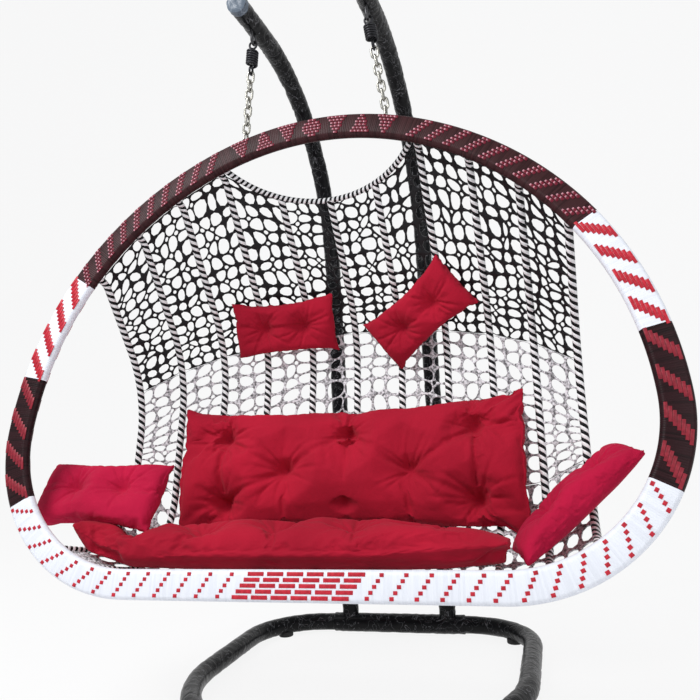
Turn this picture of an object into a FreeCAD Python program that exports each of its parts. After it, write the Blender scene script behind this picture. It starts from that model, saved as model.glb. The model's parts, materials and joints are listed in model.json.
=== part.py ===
import FreeCAD, Part
import math
import os

import Sketcher
from FreeCAD import Placement, Rotation, Vector

# Two-seat hanging swing.  A pipe stand with an oval foot ring carries two posts that
# bend forward over the seat.  Under each post hangs a spring and a short chain, and the
# two chains carry a wide hoop whose back is a bowl of wrapped ribs with net between them.
# Millimetres, +Z up, +Y to the back, origin on the floor under the middle of the foot ring.

doc = FreeCAD.newDocument("two_seat_swing")
sheet = doc.addObject("Spreadsheet::Sheet", "Sizes")

SIZES = [
    # stand
    ("stand_tube_od", 48.0, "outside of the foot ring and post tube"),
    ("stand_tube_wall", 2.0, "wall of that tube"),
    ("ring_half_width", 400.0, "middle of the foot to the centre line of its side"),
    ("ring_length", 840.0, "rear centre line to nose centre line of the foot ring"),
    ("ring_rear_corner", 190.0, "bend at the two rear corners of the foot ring"),
    ("ring_insert", 150.0, "how far each ring end goes into the rear sleeve"),
    ("sleeve_od", 54.0, "rear sleeve that joins the ring ends and carries the posts"),
    ("sleeve_stop", 10.0, "end of the rear sleeve to where the ring's corner starts"),
    ("sleeve_gap", 0.3, "radial gap between ring end and sleeve bore"),
    ("foot_od", 44.0, "rubber foot pad"),
    ("foot_lift", 7.0, "foot ring above the floor"),
    ("foot_height", 16.0, "foot pad over all"),
    ("post_spread", 300.0, "between the two post centre lines"),
    ("post_bend", 500.0, "big bend at the top of each post"),
    ("post_tip", 95.0, "straight end of the post in front of its eye"),
    ("cap_thick", 5.0, "post end cap outside the tube"),
    ("cap_plug", 20.0, "post end cap inside the tube"),
    ("cap_gap", 0.2, "radial gap between plug and tube bore"),
    ("tie_od", 25.0, "tie bar between the posts"),
    ("tie_wall", 1.5, "wall of the tie bar"),
    ("tie_height", 150.0, "tie bar above the floor"),
    ("eye_bar", 8.0, "bar of the eye under each post"),
    ("eye_bend", 10.0, "bend of the eye on its centre line"),
    ("eye_drop", 44.0, "post centre line down to the eye's bend centre"),
    # spring and chain
    ("spring_wire", 5.5, "spring wire"),
    ("spring_mean", 26.0, "mean diameter of the coil"),
    ("spring_gap", 0.7, "between neighbouring turns"),
    ("spring_turns", 7.0, "turns in the coil, a whole number"),
    ("hook_bend", 9.5, "radius of the spring's end loops"),
    ("hook_rise", 12.0, "coil end to the loop's middle"),
    ("link_wire", 6.0, "chain wire"),
    ("link_inside", 22.5, "inside length of a link"),
    ("link_width", 10.0, "inside width of a link"),
    ("link_count", 7.0, "links in each chain, a whole odd number"),
    ("hang_gap", 0.4, "between pieces that hang in each other"),
    # hoop
    ("lean", 13.0, "degrees that the hoop leans back"),
    ("hoop_setback", 830.0, "rear of the foot ring to the front edge of the hoop"),
    ("hoop_height", 295.0, "floor to the lower edge of the hoop"),
    ("hoop_half_flat", 393.0, "half of the straight lower side"),
    ("hoop_corner", 357.0, "outside radius of the lower corners"),
    ("hoop_corner_turn", 93.5, "degrees in a lower corner"),
    ("hoop_flank", 786.0, "outside radius of the flanks"),
    ("hoop_flank_turn", 65.7, "degrees in a flank"),
    ("band_width", 62.0, "width of the wrapped band"),
    ("band_thick", 24.0, "thickness of the wrapped band"),
    ("rod_od", 12.0, "two hoop rods inside the band"),
    ("rod_gap", 0.2, "between rod and the wrap around it"),
    ("spacer_side", 10.0, "square spacers between the two rods"),
    ("white_turn", 62.4, "degrees of a lower corner that the white lower wrap covers"),
    ("side_turn", 9.6, "degrees of a flank that the dark side wrap covers"),
    ("shoulder_turn", 29.7, "degrees of a flank where the white shoulder ends"),
    ("lug_spread", 360.0, "between the two lugs on top of the hoop"),
    ("lug_bar", 6.0, "bar of the lugs"),
    ("lug_bend", 9.0, "bend of a lug on its centre line"),
    ("lug_rise", 15.0, "hoop edge to the lug's bend centre"),
    # bowl
    ("rib_od", 18.0, "wrapped rib"),
    ("rib_x1", 125.0, "ribs from the middle outwards"),
    ("rib_x2", 250.0, "second rib"),
    ("rib_x3", 365.0, "third rib"),
    ("rib_x4", 470.0, "fourth rib"),
    ("rib_x5", 565.0, "edge rib"),
    ("bowl_depth", 400.0, "depth of the bowl at its middle"),
    ("bowl_edge", 265.0, "depth of the bowl at its edge ribs"),
    ("rib_root", 10.0, "straight start of a rib behind the band"),
    ("rib_root_bend", 40.0, "small bend at the start of a rib"),
    ("rib_slope", 45.0, "degrees that the upper back slopes"),
    ("rib_back_bend", 300.0, "bend from the upper back to the lower back"),
    ("rib_seat_bend", 200.0, "bend from the back to the seat"),
    ("neck_od", 14.0, "scalloped neckline bar"),
    ("neck_half", 235.0, "middle to each end of the neckline"),
    ("neck_dip", 133.0, "dip of the neckline along its own plane"),
    ("neck_slope", 22.6, "degrees that the neckline's plane slopes"),
    ("net_gap_length", 56.0, "gap in the net, from cord to cord down the back"),
    ("net_seam", 1.0, "between two panels of the net"),
    ("net_dark_turn", 22.5, "degrees of the bend that the dark upper net comes down"),
    ("net_thick", 5.0, "thickness of the net"),
    ("net_gap", 0.3, "net edge to rib"),
    ("net_cord", 11.0, "cord left between two gaps of the net"),
    ("net_seat_stop", 25.0, "band to the front edge of the seat net"),
    ("net_neck_stop", 22.0, "neckline bar to the net below it"),
    # cushions
    ("cushion_gap", 1.5, "cushion to what it rests on"),
    ("cushion_edge", 14.0, "seam edge of a cushion"),
    ("back_length", 890.0, "back cushion"),
    ("back_height", 340.0, "back cushion"),
    ("back_thick", 118.0, "back cushion"),
    ("back_mid_z", 320.0, "middle of the back cushion above the hoop's lower edge"),
    ("seat_length", 950.0, "seat cushion"),
    ("seat_shift", 88.0, "middle of the seat cushion to the left, clear of the right arm cushion"),
    ("seat_thick", 100.0, "seat cushion"),
    ("seat_front", 16.0, "front seam of the seat cushion behind the hoop's middle plane"),
    ("seat_rear", 125.0, "rear seam of the seat cushion in front of the bowl's deepest line"),
    ("arm_length", 330.0, "arm cushion"),
    ("arm_height", 165.0, "arm cushion"),
    ("arm_thick", 78.0, "arm cushion"),
    ("left_arm_x", 553.0, "middle of the left arm cushion from the middle of the seat"),
    ("left_arm_y", 115.0, "middle of the left arm cushion behind the hoop's middle plane"),
    ("left_arm_z", 240.0, "middle of the left arm cushion above the hoop's lower edge"),
    ("left_arm_roll", 2.0, "degrees that the outer end of the left arm cushion lifts"),
    ("left_arm_lean", 24.0, "degrees that the left arm cushion leans back"),
    ("right_arm_x", 540.0, "middle of the right arm cushion, which lies in the corner of the hoop"),
    ("right_arm_y", 170.0, "middle of the right arm cushion behind the hoop's middle plane"),
    ("right_arm_z", 208.0, "middle of the right arm cushion above the hoop's lower edge"),
    ("right_arm_roll", 42.0, "degrees that the outer end of the right arm cushion lifts"),
    ("right_arm_lean", 72.0, "degrees that the right arm cushion leans back"),
    ("head_length", 280.0, "head cushion"),
    ("head_height", 162.0, "head cushion"),
    ("head_thick", 70.0, "head cushion"),
    ("head_z", 722.0, "middle of the head cushions above the hoop's lower edge"),
    ("left_head_gap", 9.5, "left head cushion's middle to the ribs behind it"),
    ("right_head_gap", 18.5, "right head cushion's middle to the ribs, more as its corners reach further"),
    ("left_head_x", 176.0, "left head cushion from the middle"),
    ("right_head_x", 192.0, "right head cushion from the middle"),
    ("left_head_roll", 3.0, "degrees that the left head cushion is turned"),
    ("right_head_roll", 31.6, "degrees that the right head cushion is turned"),
    ("tuft_depth", 16.0, "depth of a sewn tuft"),
    ("tuft_od", 64.0, "width of a sewn tuft"),
]

for row, (alias, value, note) in enumerate(SIZES, 1):
    sheet.set(f"A{row}", alias)
    sheet.set(f"B{row}", str(value))
    sheet.set(f"C{row}", note)
    sheet.setAlias(f"B{row}", alias)
doc.recompute()


def size(alias):
    return float(sheet.get(alias))


def sind(degrees):
    return math.sin(math.radians(degrees))


def cosd(degrees):
    return math.cos(math.radians(degrees))


NODES = []


def node(obj, label):
    obj.Label = label
    NODES.append(obj)
    return obj


def feature(label, shape, placement=None):
    obj = doc.addObject("Part::Feature", "form_" + label)
    obj.Shape = shape
    if placement is not None:
        obj.Placement = placement.multiply(shape.Placement)
    return obj


def frame_at(origin, heading, left):
    """Placement whose X is the heading and whose Z is the side that left turns go to."""
    return Placement(origin, Rotation(heading, left.cross(heading), left))


# Tubes and bars: a chain of tangent runs and turns swept by a round, bored or faceted section


def origin_plane(body, role):
    return next(item for item in body.Origin.OriginFeatures if item.Role == role)


def bind(sketch, constraint, expression):
    index = sketch.addConstraint(constraint)
    if expression:
        sketch.setExpression(f"Constraints[{index}]", expression)


def chord_count(degrees, chord):
    """An even number of straight lengths that draw an arc, each near the given angle."""
    return max(2, 2 * round(degrees / chord / 2))


def path_sketch(body, name, steps, chord):
    """Steps are ("run", length, expression) and ("turn", radius, expression, degrees, expression, side).
    With a chord angle, each turn is drawn as equal straight lengths between points on its arc."""
    sketch = body.newObject("Sketcher::SketchObject", name)
    sketch.AttachmentSupport = [(origin_plane(body, "XZ_Plane"), "")]
    sketch.MapMode = "FlatFace"
    point = Vector(0, 0, 0)
    heading = 0.0
    last = None
    for step in steps:
        along = Vector(math.cos(heading), math.sin(heading), 0)
        if step[0] == "turn" and chord:
            radius, degrees, side = step[1], step[3], step[5]
            pieces = chord_count(degrees, chord)
            kink = side * math.radians(degrees) / pieces
            length = 2 * radius * math.sin(abs(kink) / 2)
            for piece in range(pieces):
                way = heading + kink * (piece + 0.5)
                end = point + Vector(math.cos(way), math.sin(way), 0) * length
                index = sketch.addGeometry(Part.LineSegment(point, end))
                joint = (index, 1, -1, 1) if last is None else (last[0], last[1], index, 1)
                sketch.addConstraint(Sketcher.Constraint("Coincident", *joint))
                expression = f"2 * ({step[2]}) * sin({math.degrees(abs(kink)) / 2} deg)" if step[2] else ""
                bind(sketch, Sketcher.Constraint("Distance", index, length), expression)
                last = (index, 2)
                point = end
            heading += side * math.radians(degrees)
            continue
        if step[0] == "run":
            end = point + along * step[1]
            index = sketch.addGeometry(Part.LineSegment(point, end))
            first_end, second_end = 1, 2
            bind(sketch, Sketcher.Constraint("Distance", index, step[1]), step[2])
        else:
            radius, degrees, side = step[1], step[3], step[5]
            turn = math.radians(degrees)
            normal = Vector(-along.y, along.x, 0) * side
            centre = point + normal * radius
            begin = math.atan2(point.y - centre.y, point.x - centre.x)
            finish = begin + side * turn
            circle = Part.Circle(centre, Vector(0, 0, 1), radius)
            index = sketch.addGeometry(Part.ArcOfCircle(circle, min(begin, finish), max(begin, finish)))
            first_end, second_end = (1, 2) if side > 0 else (2, 1)
            bind(sketch, Sketcher.Constraint("Radius", index, radius), step[2])
            bind(sketch, Sketcher.Constraint("Angle", index, turn), step[4])
            end = centre + Vector(math.cos(finish), math.sin(finish), 0) * radius
            heading += side * turn
        if last is None:
            sketch.addConstraint(Sketcher.Constraint("Coincident", index, first_end, -1, 1))
            if step[0] == "run":
                sketch.addConstraint(Sketcher.Constraint("Horizontal", index))
            else:
                sketch.addConstraint(Sketcher.Constraint("PointOnObject", index, 3, -2))
        elif chord:
            sketch.addConstraint(Sketcher.Constraint("Coincident", last[0], last[1], index, first_end))
        else:
            sketch.addConstraint(Sketcher.Constraint("Tangent", last[0], last[1], index, first_end))
        last = (index, second_end)
        point = end
    return sketch


def outline(sketch, width, expression, sides):
    """A circle about the sketch's origin, or a polygon with its corners on that circle."""
    rim = sketch.addGeometry(Part.Circle(Vector(0, 0, 0), Vector(0, 0, 1), width / 2), bool(sides))
    sketch.addConstraint(Sketcher.Constraint("Coincident", rim, 3, -1, 1))
    bind(sketch, Sketcher.Constraint("Diameter", rim, width), expression)
    if not sides:
        return
    corner = [Vector(cosd(360 * k / sides), sind(360 * k / sides), 0) * (width / 2) for k in range(sides)]
    edges = []
    for k in range(sides):
        edges.append(sketch.addGeometry(Part.LineSegment(corner[k], corner[(k + 1) % sides])))
    for k in range(sides):
        sketch.addConstraint(Sketcher.Constraint("Coincident", edges[k], 2, edges[(k + 1) % sides], 1))
        sketch.addConstraint(Sketcher.Constraint("PointOnObject", edges[k], 1, rim))
        if k:
            sketch.addConstraint(Sketcher.Constraint("Equal", edges[0], edges[k]))
    sketch.addConstraint(Sketcher.Constraint("PointOnObject", edges[0], 1, -1))


def tube(name, steps, placement, od, bore=None, sides=0, chord=0):
    """A swept body. od and bore are (value, expression) pairs; a bore in a bent tube is drawn eight-sided."""
    body = doc.addObject("PartDesign::Body", "body_" + name)
    path = path_sketch(body, "path_" + name, steps, chord)
    section = body.newObject("Sketcher::SketchObject", "section_" + name)
    section.AttachmentSupport = [(origin_plane(body, "YZ_Plane"), "")]
    section.MapMode = "FlatFace"
    outline(section, od[0], od[1], sides)
    if bore:
        outline(section, bore[0], bore[1], 8 if sides else 0)
    pipe = body.newObject("PartDesign::AdditivePipe", "pipe_" + name)
    pipe.Profile = section
    pipe.Spine = (path, [])
    if chord:
        pipe.Transition = "Right corner"
    body.Placement = placement
    return body


def cut(name, base, tool):
    obj = doc.addObject("Part::Cut", "cut_" + name)
    obj.Base = base
    obj.Tool = tool
    return obj


def sized(alias, factor=1.0):
    return (size(alias) * factor, f"Sizes.{alias} * {factor}")


X, Y, Z = Vector(1, 0, 0), Vector(0, 1, 0), Vector(0, 0, 1)
SIDES = (("left", -1), ("right", 1))

# Where things are, worked out from the sizes

tube_od = size("stand_tube_od")
tube_r = tube_od / 2
ring_z = size("foot_lift") + tube_r
rear_y = size("ring_length") / 2 - (size("sleeve_od") - tube_od) / 4
post_x = size("post_spread") / 2
hoop_y = rear_y - size("hoop_setback")
lean = size("lean")
basket = Placement(Vector(0, hoop_y, size("hoop_height")), Rotation(X, -lean))

flat = size("hoop_half_flat")
corner_r = size("hoop_corner")
corner_turn = size("hoop_corner_turn")
flank_r = size("hoop_flank")
flank_turn = size("hoop_flank_turn")
# centres of the three hoop arcs in the hoop's plane; the crown closes the outline at the middle
corner_c = Vector(flat, 0, corner_r)
flank_start = corner_turn - 90
flank_c = corner_c + Vector(cosd(flank_start), 0, sind(flank_start)) * (corner_r - flank_r)
crown_start = flank_start + flank_turn
crown_r = flank_r + flank_c.x / cosd(crown_start)
crown_c = flank_c + Vector(cosd(crown_start), 0, sind(crown_start)) * (flank_r - crown_r)
crown_turn = 90 - crown_start


def hoop_top(x, inset):
    """Height of the hoop's upper half at a distance x from the middle, inset from its outer edge."""
    x = abs(x)
    seam = crown_c.x + (crown_r - inset) * cosd(crown_start)
    if x <= seam:
        return crown_c.z + math.sqrt((crown_r - inset) ** 2 - (x - crown_c.x) ** 2)
    return flank_c.z + math.sqrt((flank_r - inset) ** 2 - (x - flank_c.x) ** 2)


def hoop_bottom(x, inset):
    x = abs(x)
    if x <= flat:
        return inset
    return corner_c.z - math.sqrt((corner_r - inset) ** 2 - (x - flat) ** 2)


# The hanging line: eye, spring, chain, lug

lug_x = size("lug_spread") / 2
link_wire = size("link_wire")
spring_wire = size("spring_wire")
hang_gap = size("hang_gap")
lug_bend_z = hoop_top(lug_x, 0) + size("lug_rise")
lug_pivot_z = lug_bend_z + size("lug_bend") - size("lug_bar") / 2 - link_wire / 2 - hang_gap
lug_pivot = basket.multVec(Vector(lug_x, 0, lug_pivot_z))
turns = int(round(size("spring_turns")))
links = int(round(size("link_count")))
pitch = spring_wire + size("spring_gap")
coil_length = turns * pitch
spring_length = coil_length + 2 * (size("hook_rise") + size("hook_bend"))
link_step = size("link_inside") - hang_gap
link_centres = size("link_inside") + link_wire
chain_start = spring_length - (spring_wire + link_wire) / 2 - hang_gap
hang_length = chain_start + (links - 1) * link_step + link_centres
hang_out = lug_x - post_x
hang_drop = math.sqrt(hang_length**2 - hang_out**2)
hang_tilt = math.degrees(math.asin(hang_out / hang_length))
eye_pivot = Vector(post_x, lug_pivot.y, lug_pivot.z + hang_drop)
eye_bend_z = eye_pivot.z + size("eye_bend") - size("eye_bar") / 2 - spring_wire / 2 - hang_gap
post_top_z = eye_bend_z + size("eye_drop")
post_tip_y = eye_pivot.y - size("post_tip")

# Stand: foot ring, rear sleeve, foot pads

TUBE_SIDES = 12
TUBE_CHORD = 11.25
BAR_SIDES = 6
BAR_CHORD = 30

sleeve_half = size("ring_half_width") - size("ring_rear_corner") - size("sleeve_stop")
sleeve_half_expression = "(Sizes.ring_half_width - Sizes.ring_rear_corner - Sizes.sleeve_stop)"
end_x = sleeve_half - size("ring_insert")
rear_run = size("sleeve_stop") + size("ring_insert")
side_run = size("ring_length") - size("ring_rear_corner") - size("ring_half_width")
rear_run_expression = "Sizes.sleeve_stop + Sizes.ring_insert"
side_run_expression = "Sizes.ring_length - Sizes.ring_rear_corner - Sizes.ring_half_width"
stand_bore = (tube_od - 2 * size("stand_tube_wall"), "Sizes.stand_tube_od - 2 * Sizes.stand_tube_wall")
ring_corner = ("turn", size("ring_rear_corner"), "Sizes.ring_rear_corner", 90, "", -1)
ring_nose = ("turn", size("ring_half_width"), "Sizes.ring_half_width", 180, "", -1)
ring_steps = [
    ("run", rear_run, rear_run_expression),
    ring_corner,
    ("run", side_run, side_run_expression),
    ring_nose,
    ("run", side_run, side_run_expression),
    ring_corner,
    ("run", rear_run, rear_run_expression),
]
ring_place = frame_at(Vector(end_x, rear_y, ring_z), X, Y)
stand_tube = sized("stand_tube_od")
node(tube("base_ring", ring_steps, ring_place, stand_tube, stand_bore, TUBE_SIDES, TUBE_CHORD), "base_ring")
ring_solid = tube("ring_tool", ring_steps, ring_place, stand_tube, None, TUBE_SIDES, TUBE_CHORD)

sleeve_steps = [("run", 2 * sleeve_half, f"2 * {sleeve_half_expression}")]
sleeve_place = frame_at(Vector(-sleeve_half, rear_y, ring_z), X, Y)
sleeve_bore = (tube_od + 2 * size("sleeve_gap"), "Sizes.stand_tube_od + 2 * Sizes.sleeve_gap")
node(tube("rear_sleeve", sleeve_steps, sleeve_place, sized("sleeve_od"), sleeve_bore), "rear_sleeve")
sleeve_solid = tube("sleeve_tool", sleeve_steps, sleeve_place, sized("sleeve_od"))

corner_mid = size("ring_half_width") - size("ring_rear_corner") * (1 - cosd(45))
corner_mid_y = rear_y - size("ring_rear_corner") * (1 - cosd(45))
nose_mid = size("ring_half_width") * cosd(45)
nose_mid_y = rear_y - size("ring_rear_corner") - side_run - nose_mid
pads = []
for name, x, y in (("rear", corner_mid, corner_mid_y), ("front", nose_mid, nose_mid_y)):
    for side, sign in SIDES:
        pad = doc.addObject("Part::Prism", f"pad_{name}_{side}")
        pad.Polygon = TUBE_SIDES
        pad.setExpression("Circumradius", "Sizes.foot_od / 2")
        pad.setExpression("Height", "Sizes.foot_height")
        pad.Placement.Base = Vector(sign * x, y, 0)
        pads.append(pad)
pad_set = doc.addObject("Part::Compound", "pads")
pad_set.Links = pads
node(cut("feet", pad_set, ring_solid), "base_feet")

# Posts with caps and eyes, and the tie bar low down between them

rise = post_top_z - size("post_bend") - ring_z
tip_run = rear_y - size("post_bend") - post_tip_y
post_steps = [
    ("run", rise, ""),
    ("turn", size("post_bend"), "Sizes.post_bend", 90, "", 1),
    ("run", tip_run, ""),
]
post_tools = []
for side, sign in SIDES:
    place = frame_at(Vector(sign * post_x, rear_y, ring_z), Z, Y * -1)
    body = tube(f"{side}_post", post_steps, place, stand_tube, stand_bore, TUBE_SIDES, TUBE_CHORD)
    node(cut(f"{side}_post", body, sleeve_solid), f"{side}_post")
    post_tool = tube(f"{side}_post_tool", post_steps, place, stand_tube, None, TUBE_SIDES, TUBE_CHORD)
    post_tools.append(post_tool)

    disc = doc.addObject("Part::Prism", f"cap_disc_{side}")
    disc.Polygon = TUBE_SIDES
    disc.setExpression("Circumradius", "Sizes.stand_tube_od / 2")
    disc.setExpression("Height", "Sizes.cap_thick")
    plug = doc.addObject("Part::Prism", f"cap_plug_{side}")
    plug.Polygon = 8
    plug.setExpression("Circumradius", "Sizes.stand_tube_od / 2 - Sizes.stand_tube_wall - Sizes.cap_gap")
    plug.setExpression("Height", "Sizes.cap_plug")
    forward = Rotation(Z, Y * -1)
    disc.Placement = Placement(Vector(sign * post_x, post_tip_y, post_top_z), forward)
    plug.Placement = Placement(Vector(sign * post_x, post_tip_y + size("cap_plug"), post_top_z), forward)
    cap = doc.addObject("Part::Fuse", f"cap_{side}")
    cap.Base = disc
    cap.Tool = plug
    node(cap, f"{side}_post_cap")

    leg = size("eye_drop")
    eye_steps = [
        ("run", leg, "Sizes.eye_drop"),
        ("turn", size("eye_bend"), "Sizes.eye_bend", 180, "", 1),
        ("run", leg, "Sizes.eye_drop"),
    ]
    eye_place = frame_at(Vector(sign * post_x, eye_pivot.y - size("eye_bend"), post_top_z), Z * -1, Y)
    eye_bar = tube(f"{side}_eye", eye_steps, eye_place, sized("eye_bar"), None, BAR_SIDES, BAR_CHORD)
    node(cut(f"{side}_eye", eye_bar, post_tool), f"{side}_eye")

tie_place = frame_at(Vector(-post_x, rear_y, size("tie_height")), X, Y)
tie_bore = (size("tie_od") - 2 * size("tie_wall"), "Sizes.tie_od - 2 * Sizes.tie_wall")
tie_steps = [("run", size("post_spread"), "Sizes.post_spread")]
tie_bar = tube("tie", tie_steps, tie_place, sized("tie_od"), tie_bore, TUBE_SIDES)
node(cut("tie_right", cut("tie_left", tie_bar, post_tools[0]), post_tools[1]), "post_tie")

# Springs: one unbroken wire, a close coil with a loop at each end, on three-dimensional biarcs


def biarc(points, tangents):
    """Tangent arcs through the given points, as a list of edges."""
    edges = []
    for p, q, t, u in zip(points, points[1:], tangents, tangents[1:]):
        across = q - p
        both = t + u
        spare = 2 * (1 - t.dot(u))
        if spare < 1e-9:
            reach = across.dot(across) / (4 * across.dot(u))
        else:
            along = across.dot(both)
            reach = (-along + math.sqrt(along**2 + spare * across.dot(across))) / spare
        a = p + t * reach
        b = q - u * reach
        middle = (a + b) * 0.5
        for start, knee, end in ((p, a, middle), (middle, b, q)):
            chord = end - start
            half = chord.Length / 2
            arm = (knee - start).Length
            if arm - half < 1e-6:
                edges.append(Part.LineSegment(start, end).toShape())
                continue
            bisect = (knee - (start + end) * 0.5)
            lift = half * bisect.Length / (arm + half)
            crest = (start + end) * 0.5 + bisect * (lift / bisect.Length)
            edges.append(Part.Arc(start, crest, end).toShape())
    return edges


def spring_points():
    """Points and tangents of the wire from its upper to its lower end, hanging from z = 0."""
    bend = size("hook_bend")
    radius = size("spring_mean") / 2
    rise_to_loop = size("hook_rise")
    climb = pitch / (2 * math.pi)
    coil_top = -(bend + rise_to_loop)
    points, tangents = [], []
    # upper loop stands in the XZ plane and ends above the coil
    loop_z = -bend
    for degrees in (-235, -180, -90, 0):
        angle = -degrees
        points.append(Vector(bend * cosd(angle), 0, loop_z + bend * sind(angle)))
        tangents.append(Vector(sind(angle), 0, -cosd(angle)))
    # the coil starts at its rear and winds down
    steps_in_turn = 4
    for k in range(turns * steps_in_turn + 1):
        angle = math.radians(90 + 360 * k / steps_in_turn)
        down = climb * math.radians(360 * k / steps_in_turn)
        points.append(Vector(radius * math.cos(angle), radius * math.sin(angle), coil_top - down))
        tangents.append(Vector(-radius * math.sin(angle), radius * math.cos(angle), -climb).normalize())
    # lower loop stands in the YZ plane
    low_z = -(spring_length - bend)
    for degrees in (0, 90, 180, 235):
        points.append(Vector(0, -bend * cosd(degrees), low_z - bend * sind(degrees)))
        tangents.append(Vector(0, bend * sind(degrees), -bend * cosd(degrees)).normalize())
    return points, tangents


def least_self_gap(wire_shape, width):
    """Least clear distance between stretches of the wire that lie more than a half turn apart along it."""
    count = int(wire_shape.Length / (width * 0.5))
    samples = wire_shape.discretize(count)
    apart = int(math.pi * size("spring_mean") * 0.5 / (wire_shape.Length / count))
    least = 1e9
    for i in range(len(samples)):
        for j in range(i + apart, len(samples)):
            least = min(least, (samples[i] - samples[j]).Length)
    return least - width


spring_wire_path = Part.Wire(biarc(*spring_points()))
spring_gap_found = least_self_gap(spring_wire_path, spring_wire)
print("spring: least gap of the wire to itself %.2f mm" % spring_gap_found)


def flat_faced(rings):
    """Solid through rings of equally many points, closed at both ends, with two flat faces in each field."""
    faces = []
    for low, high in zip(rings, rings[1:]):
        for k in range(len(low)):
            a, b, c, d = low[k - 1], low[k], high[k], high[k - 1]
            for corners in ((a, b, c), (a, c, d)):
                faces.append(Part.Face(Part.makePolygon(list(corners) + [corners[0]])))
    for end in (rings[0], rings[-1]):
        faces.append(Part.Face(Part.makePolygon(end + end[:1])))
    solid = Part.Solid(Part.Shell(faces))
    if solid.Volume < 0:
        solid.reverse()
    return solid


def wire_rings(path, width, sides, count):
    """Rings round a path, square to it, that turn with it and don't twist."""
    points = path.discretize(count)
    across = None
    rings = []
    for k, point in enumerate(points):
        ahead = (points[min(k + 1, count - 1)] - points[max(k - 1, 0)]).normalize()
        across = ahead.cross(X if abs(ahead.x) < 0.7 else Y) if across is None else across
        across = (across - ahead * across.dot(ahead)).normalize()
        up = ahead.cross(across)
        spread = [across * cosd(360 * j / sides) + up * sind(360 * j / sides) for j in range(sides)]
        rings.append([point + way * (width / 2) for way in spread])
    return rings


SPRING_CHORD = 30
spring_lengths = int(spring_wire_path.Length / (size("spring_mean") * sind(SPRING_CHORD / 2)))
spring_shape = flat_faced(wire_rings(spring_wire_path, spring_wire, BAR_SIDES, spring_lengths))

# Chain: one link drawn once, then turned a quarter for each next link


link_bend = (size("link_width") + link_wire) / 2
link_straight = link_centres - 2 * link_bend
link_steps = [
    ("run", link_straight, "Sizes.link_inside - Sizes.link_width"),
    ("turn", link_bend, "(Sizes.link_width + Sizes.link_wire) / 2", 180, "", 1),
    ("run", link_straight, "Sizes.link_inside - Sizes.link_width"),
    ("turn", link_bend, "(Sizes.link_width + Sizes.link_wire) / 2", 180, "", 1),
]
link_place = frame_at(Vector(-link_bend, 0, -link_bend), Z * -1, X)
link_body = tube("chain_link", link_steps, link_place, sized("link_wire"), None, BAR_SIDES, BAR_CHORD)
doc.recompute()
link_shape = link_body.Shape.copy()

for side, sign in SIDES:
    hang = Placement(Vector(sign * post_x, eye_pivot.y, eye_pivot.z), Rotation(Y, -sign * hang_tilt))
    node(feature(f"{side}_spring", spring_shape.copy(), hang), f"{side}_spring")
    copies = []
    for k in range(links):
        copy = link_shape.copy()
        turn = Placement(Vector(0, 0, -(chain_start + k * link_step)), Rotation(Z, 90 * (k % 2)))
        copy.Placement = turn.multiply(copy.Placement)
        copies.append(copy)
    node(feature(f"{side}_chain", Part.makeCompound(copies), hang), f"{side}_chain")

# Hoop: two rods, square spacers between them, and the wrap in six lengths of colour

band_width = size("band_width")
band_thick = size("band_thick")
HOOP_CHORD = 9.0
EDGE_FACETS = 4

# each leg of the right half: its centre, outside radius and the degrees turned before it
HOOP_LEGS = {
    "corner": (corner_c, corner_r, 0.0),
    "flank": (flank_c, flank_r, corner_turn),
    "crown": (crown_c, crown_r, corner_turn + flank_turn),
}
white_stretch = [("corner", 0.0, size("white_turn"))]
side_stretch = [("corner", size("white_turn"), corner_turn), ("flank", 0.0, size("side_turn"))]
shoulder_stretch = [("flank", size("side_turn"), size("shoulder_turn"))]
upper_stretch = [("flank", size("shoulder_turn"), flank_turn), ("crown", 0.0, crown_turn)]
half_hoop = white_stretch + side_stretch + shoulder_stretch + upper_stretch

rod_insets = {
    "hoop_outer_rod": (band_thick / 2, "Sizes.band_thick / 2"),
    "hoop_inner_rod": (band_width - band_thick / 2, "(Sizes.band_width - Sizes.band_thick / 2)"),
}
for name, (inset, expression) in rod_insets.items():
    half = [("run", flat, "Sizes.hoop_half_flat")]
    for leg, begin, finish in half_hoop:
        radius_expression = "" if leg == "crown" else f"Sizes.hoop_{leg} - {expression}"
        half.append(("turn", HOOP_LEGS[leg][1] - inset, radius_expression, finish - begin, "", 1))
    place = basket.multiply(Placement(Vector(0, 0, inset), Rotation()))
    node(tube(name, half + half[::-1], place, sized("rod_od"), None, BAR_SIDES, HOOP_CHORD), name)


def hoop_point(leg, degrees, y, inset):
    """Point on the right half of the hoop, inset from its outer edge."""
    centre, radius, before = HOOP_LEGS[leg]
    turn = before + degrees
    return centre + Vector(sind(turn), 0, -cosd(turn)) * (radius - inset) + Y * y


def hoop_rings(section, stretches):
    """Rings of a section of (y, inset) pairs where the chords of the right half of the hoop meet."""
    rings = []
    for leg, begin, finish in stretches:
        pieces = chord_count(finish - begin, HOOP_CHORD)
        for k in range(1 if rings else 0, pieces + 1):
            degrees = begin + (finish - begin) * k / pieces
            rings.append([hoop_point(leg, degrees, y, inset) for y, inset in section])
    return rings


def mirrored(rings):
    """The same rings on the left half, in the opposite order."""
    return [[Vector(-point.x, point.y, point.z) for point in ring] for ring in rings[::-1]]


# the band's section: straight front and back, edges round; inside it a long box round both rods
wrap_wall = (band_thick - size("rod_od")) / 2 - size("rod_gap")
edge_r = band_thick / 2
band_section = []
for middle, start in ((edge_r, 180), (band_width - edge_r, 0)):
    for k in range(EDGE_FACETS + 1):
        degrees = start + 180 * k / EDGE_FACETS
        band_section.append((edge_r * cosd(degrees), middle + edge_r * sind(degrees)))
room = edge_r - wrap_wall
wrap_far = band_width - wrap_wall
wrap_section = [(-room, wrap_wall), (room, wrap_wall), (room, wrap_far), (-room, wrap_far)]


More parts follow.
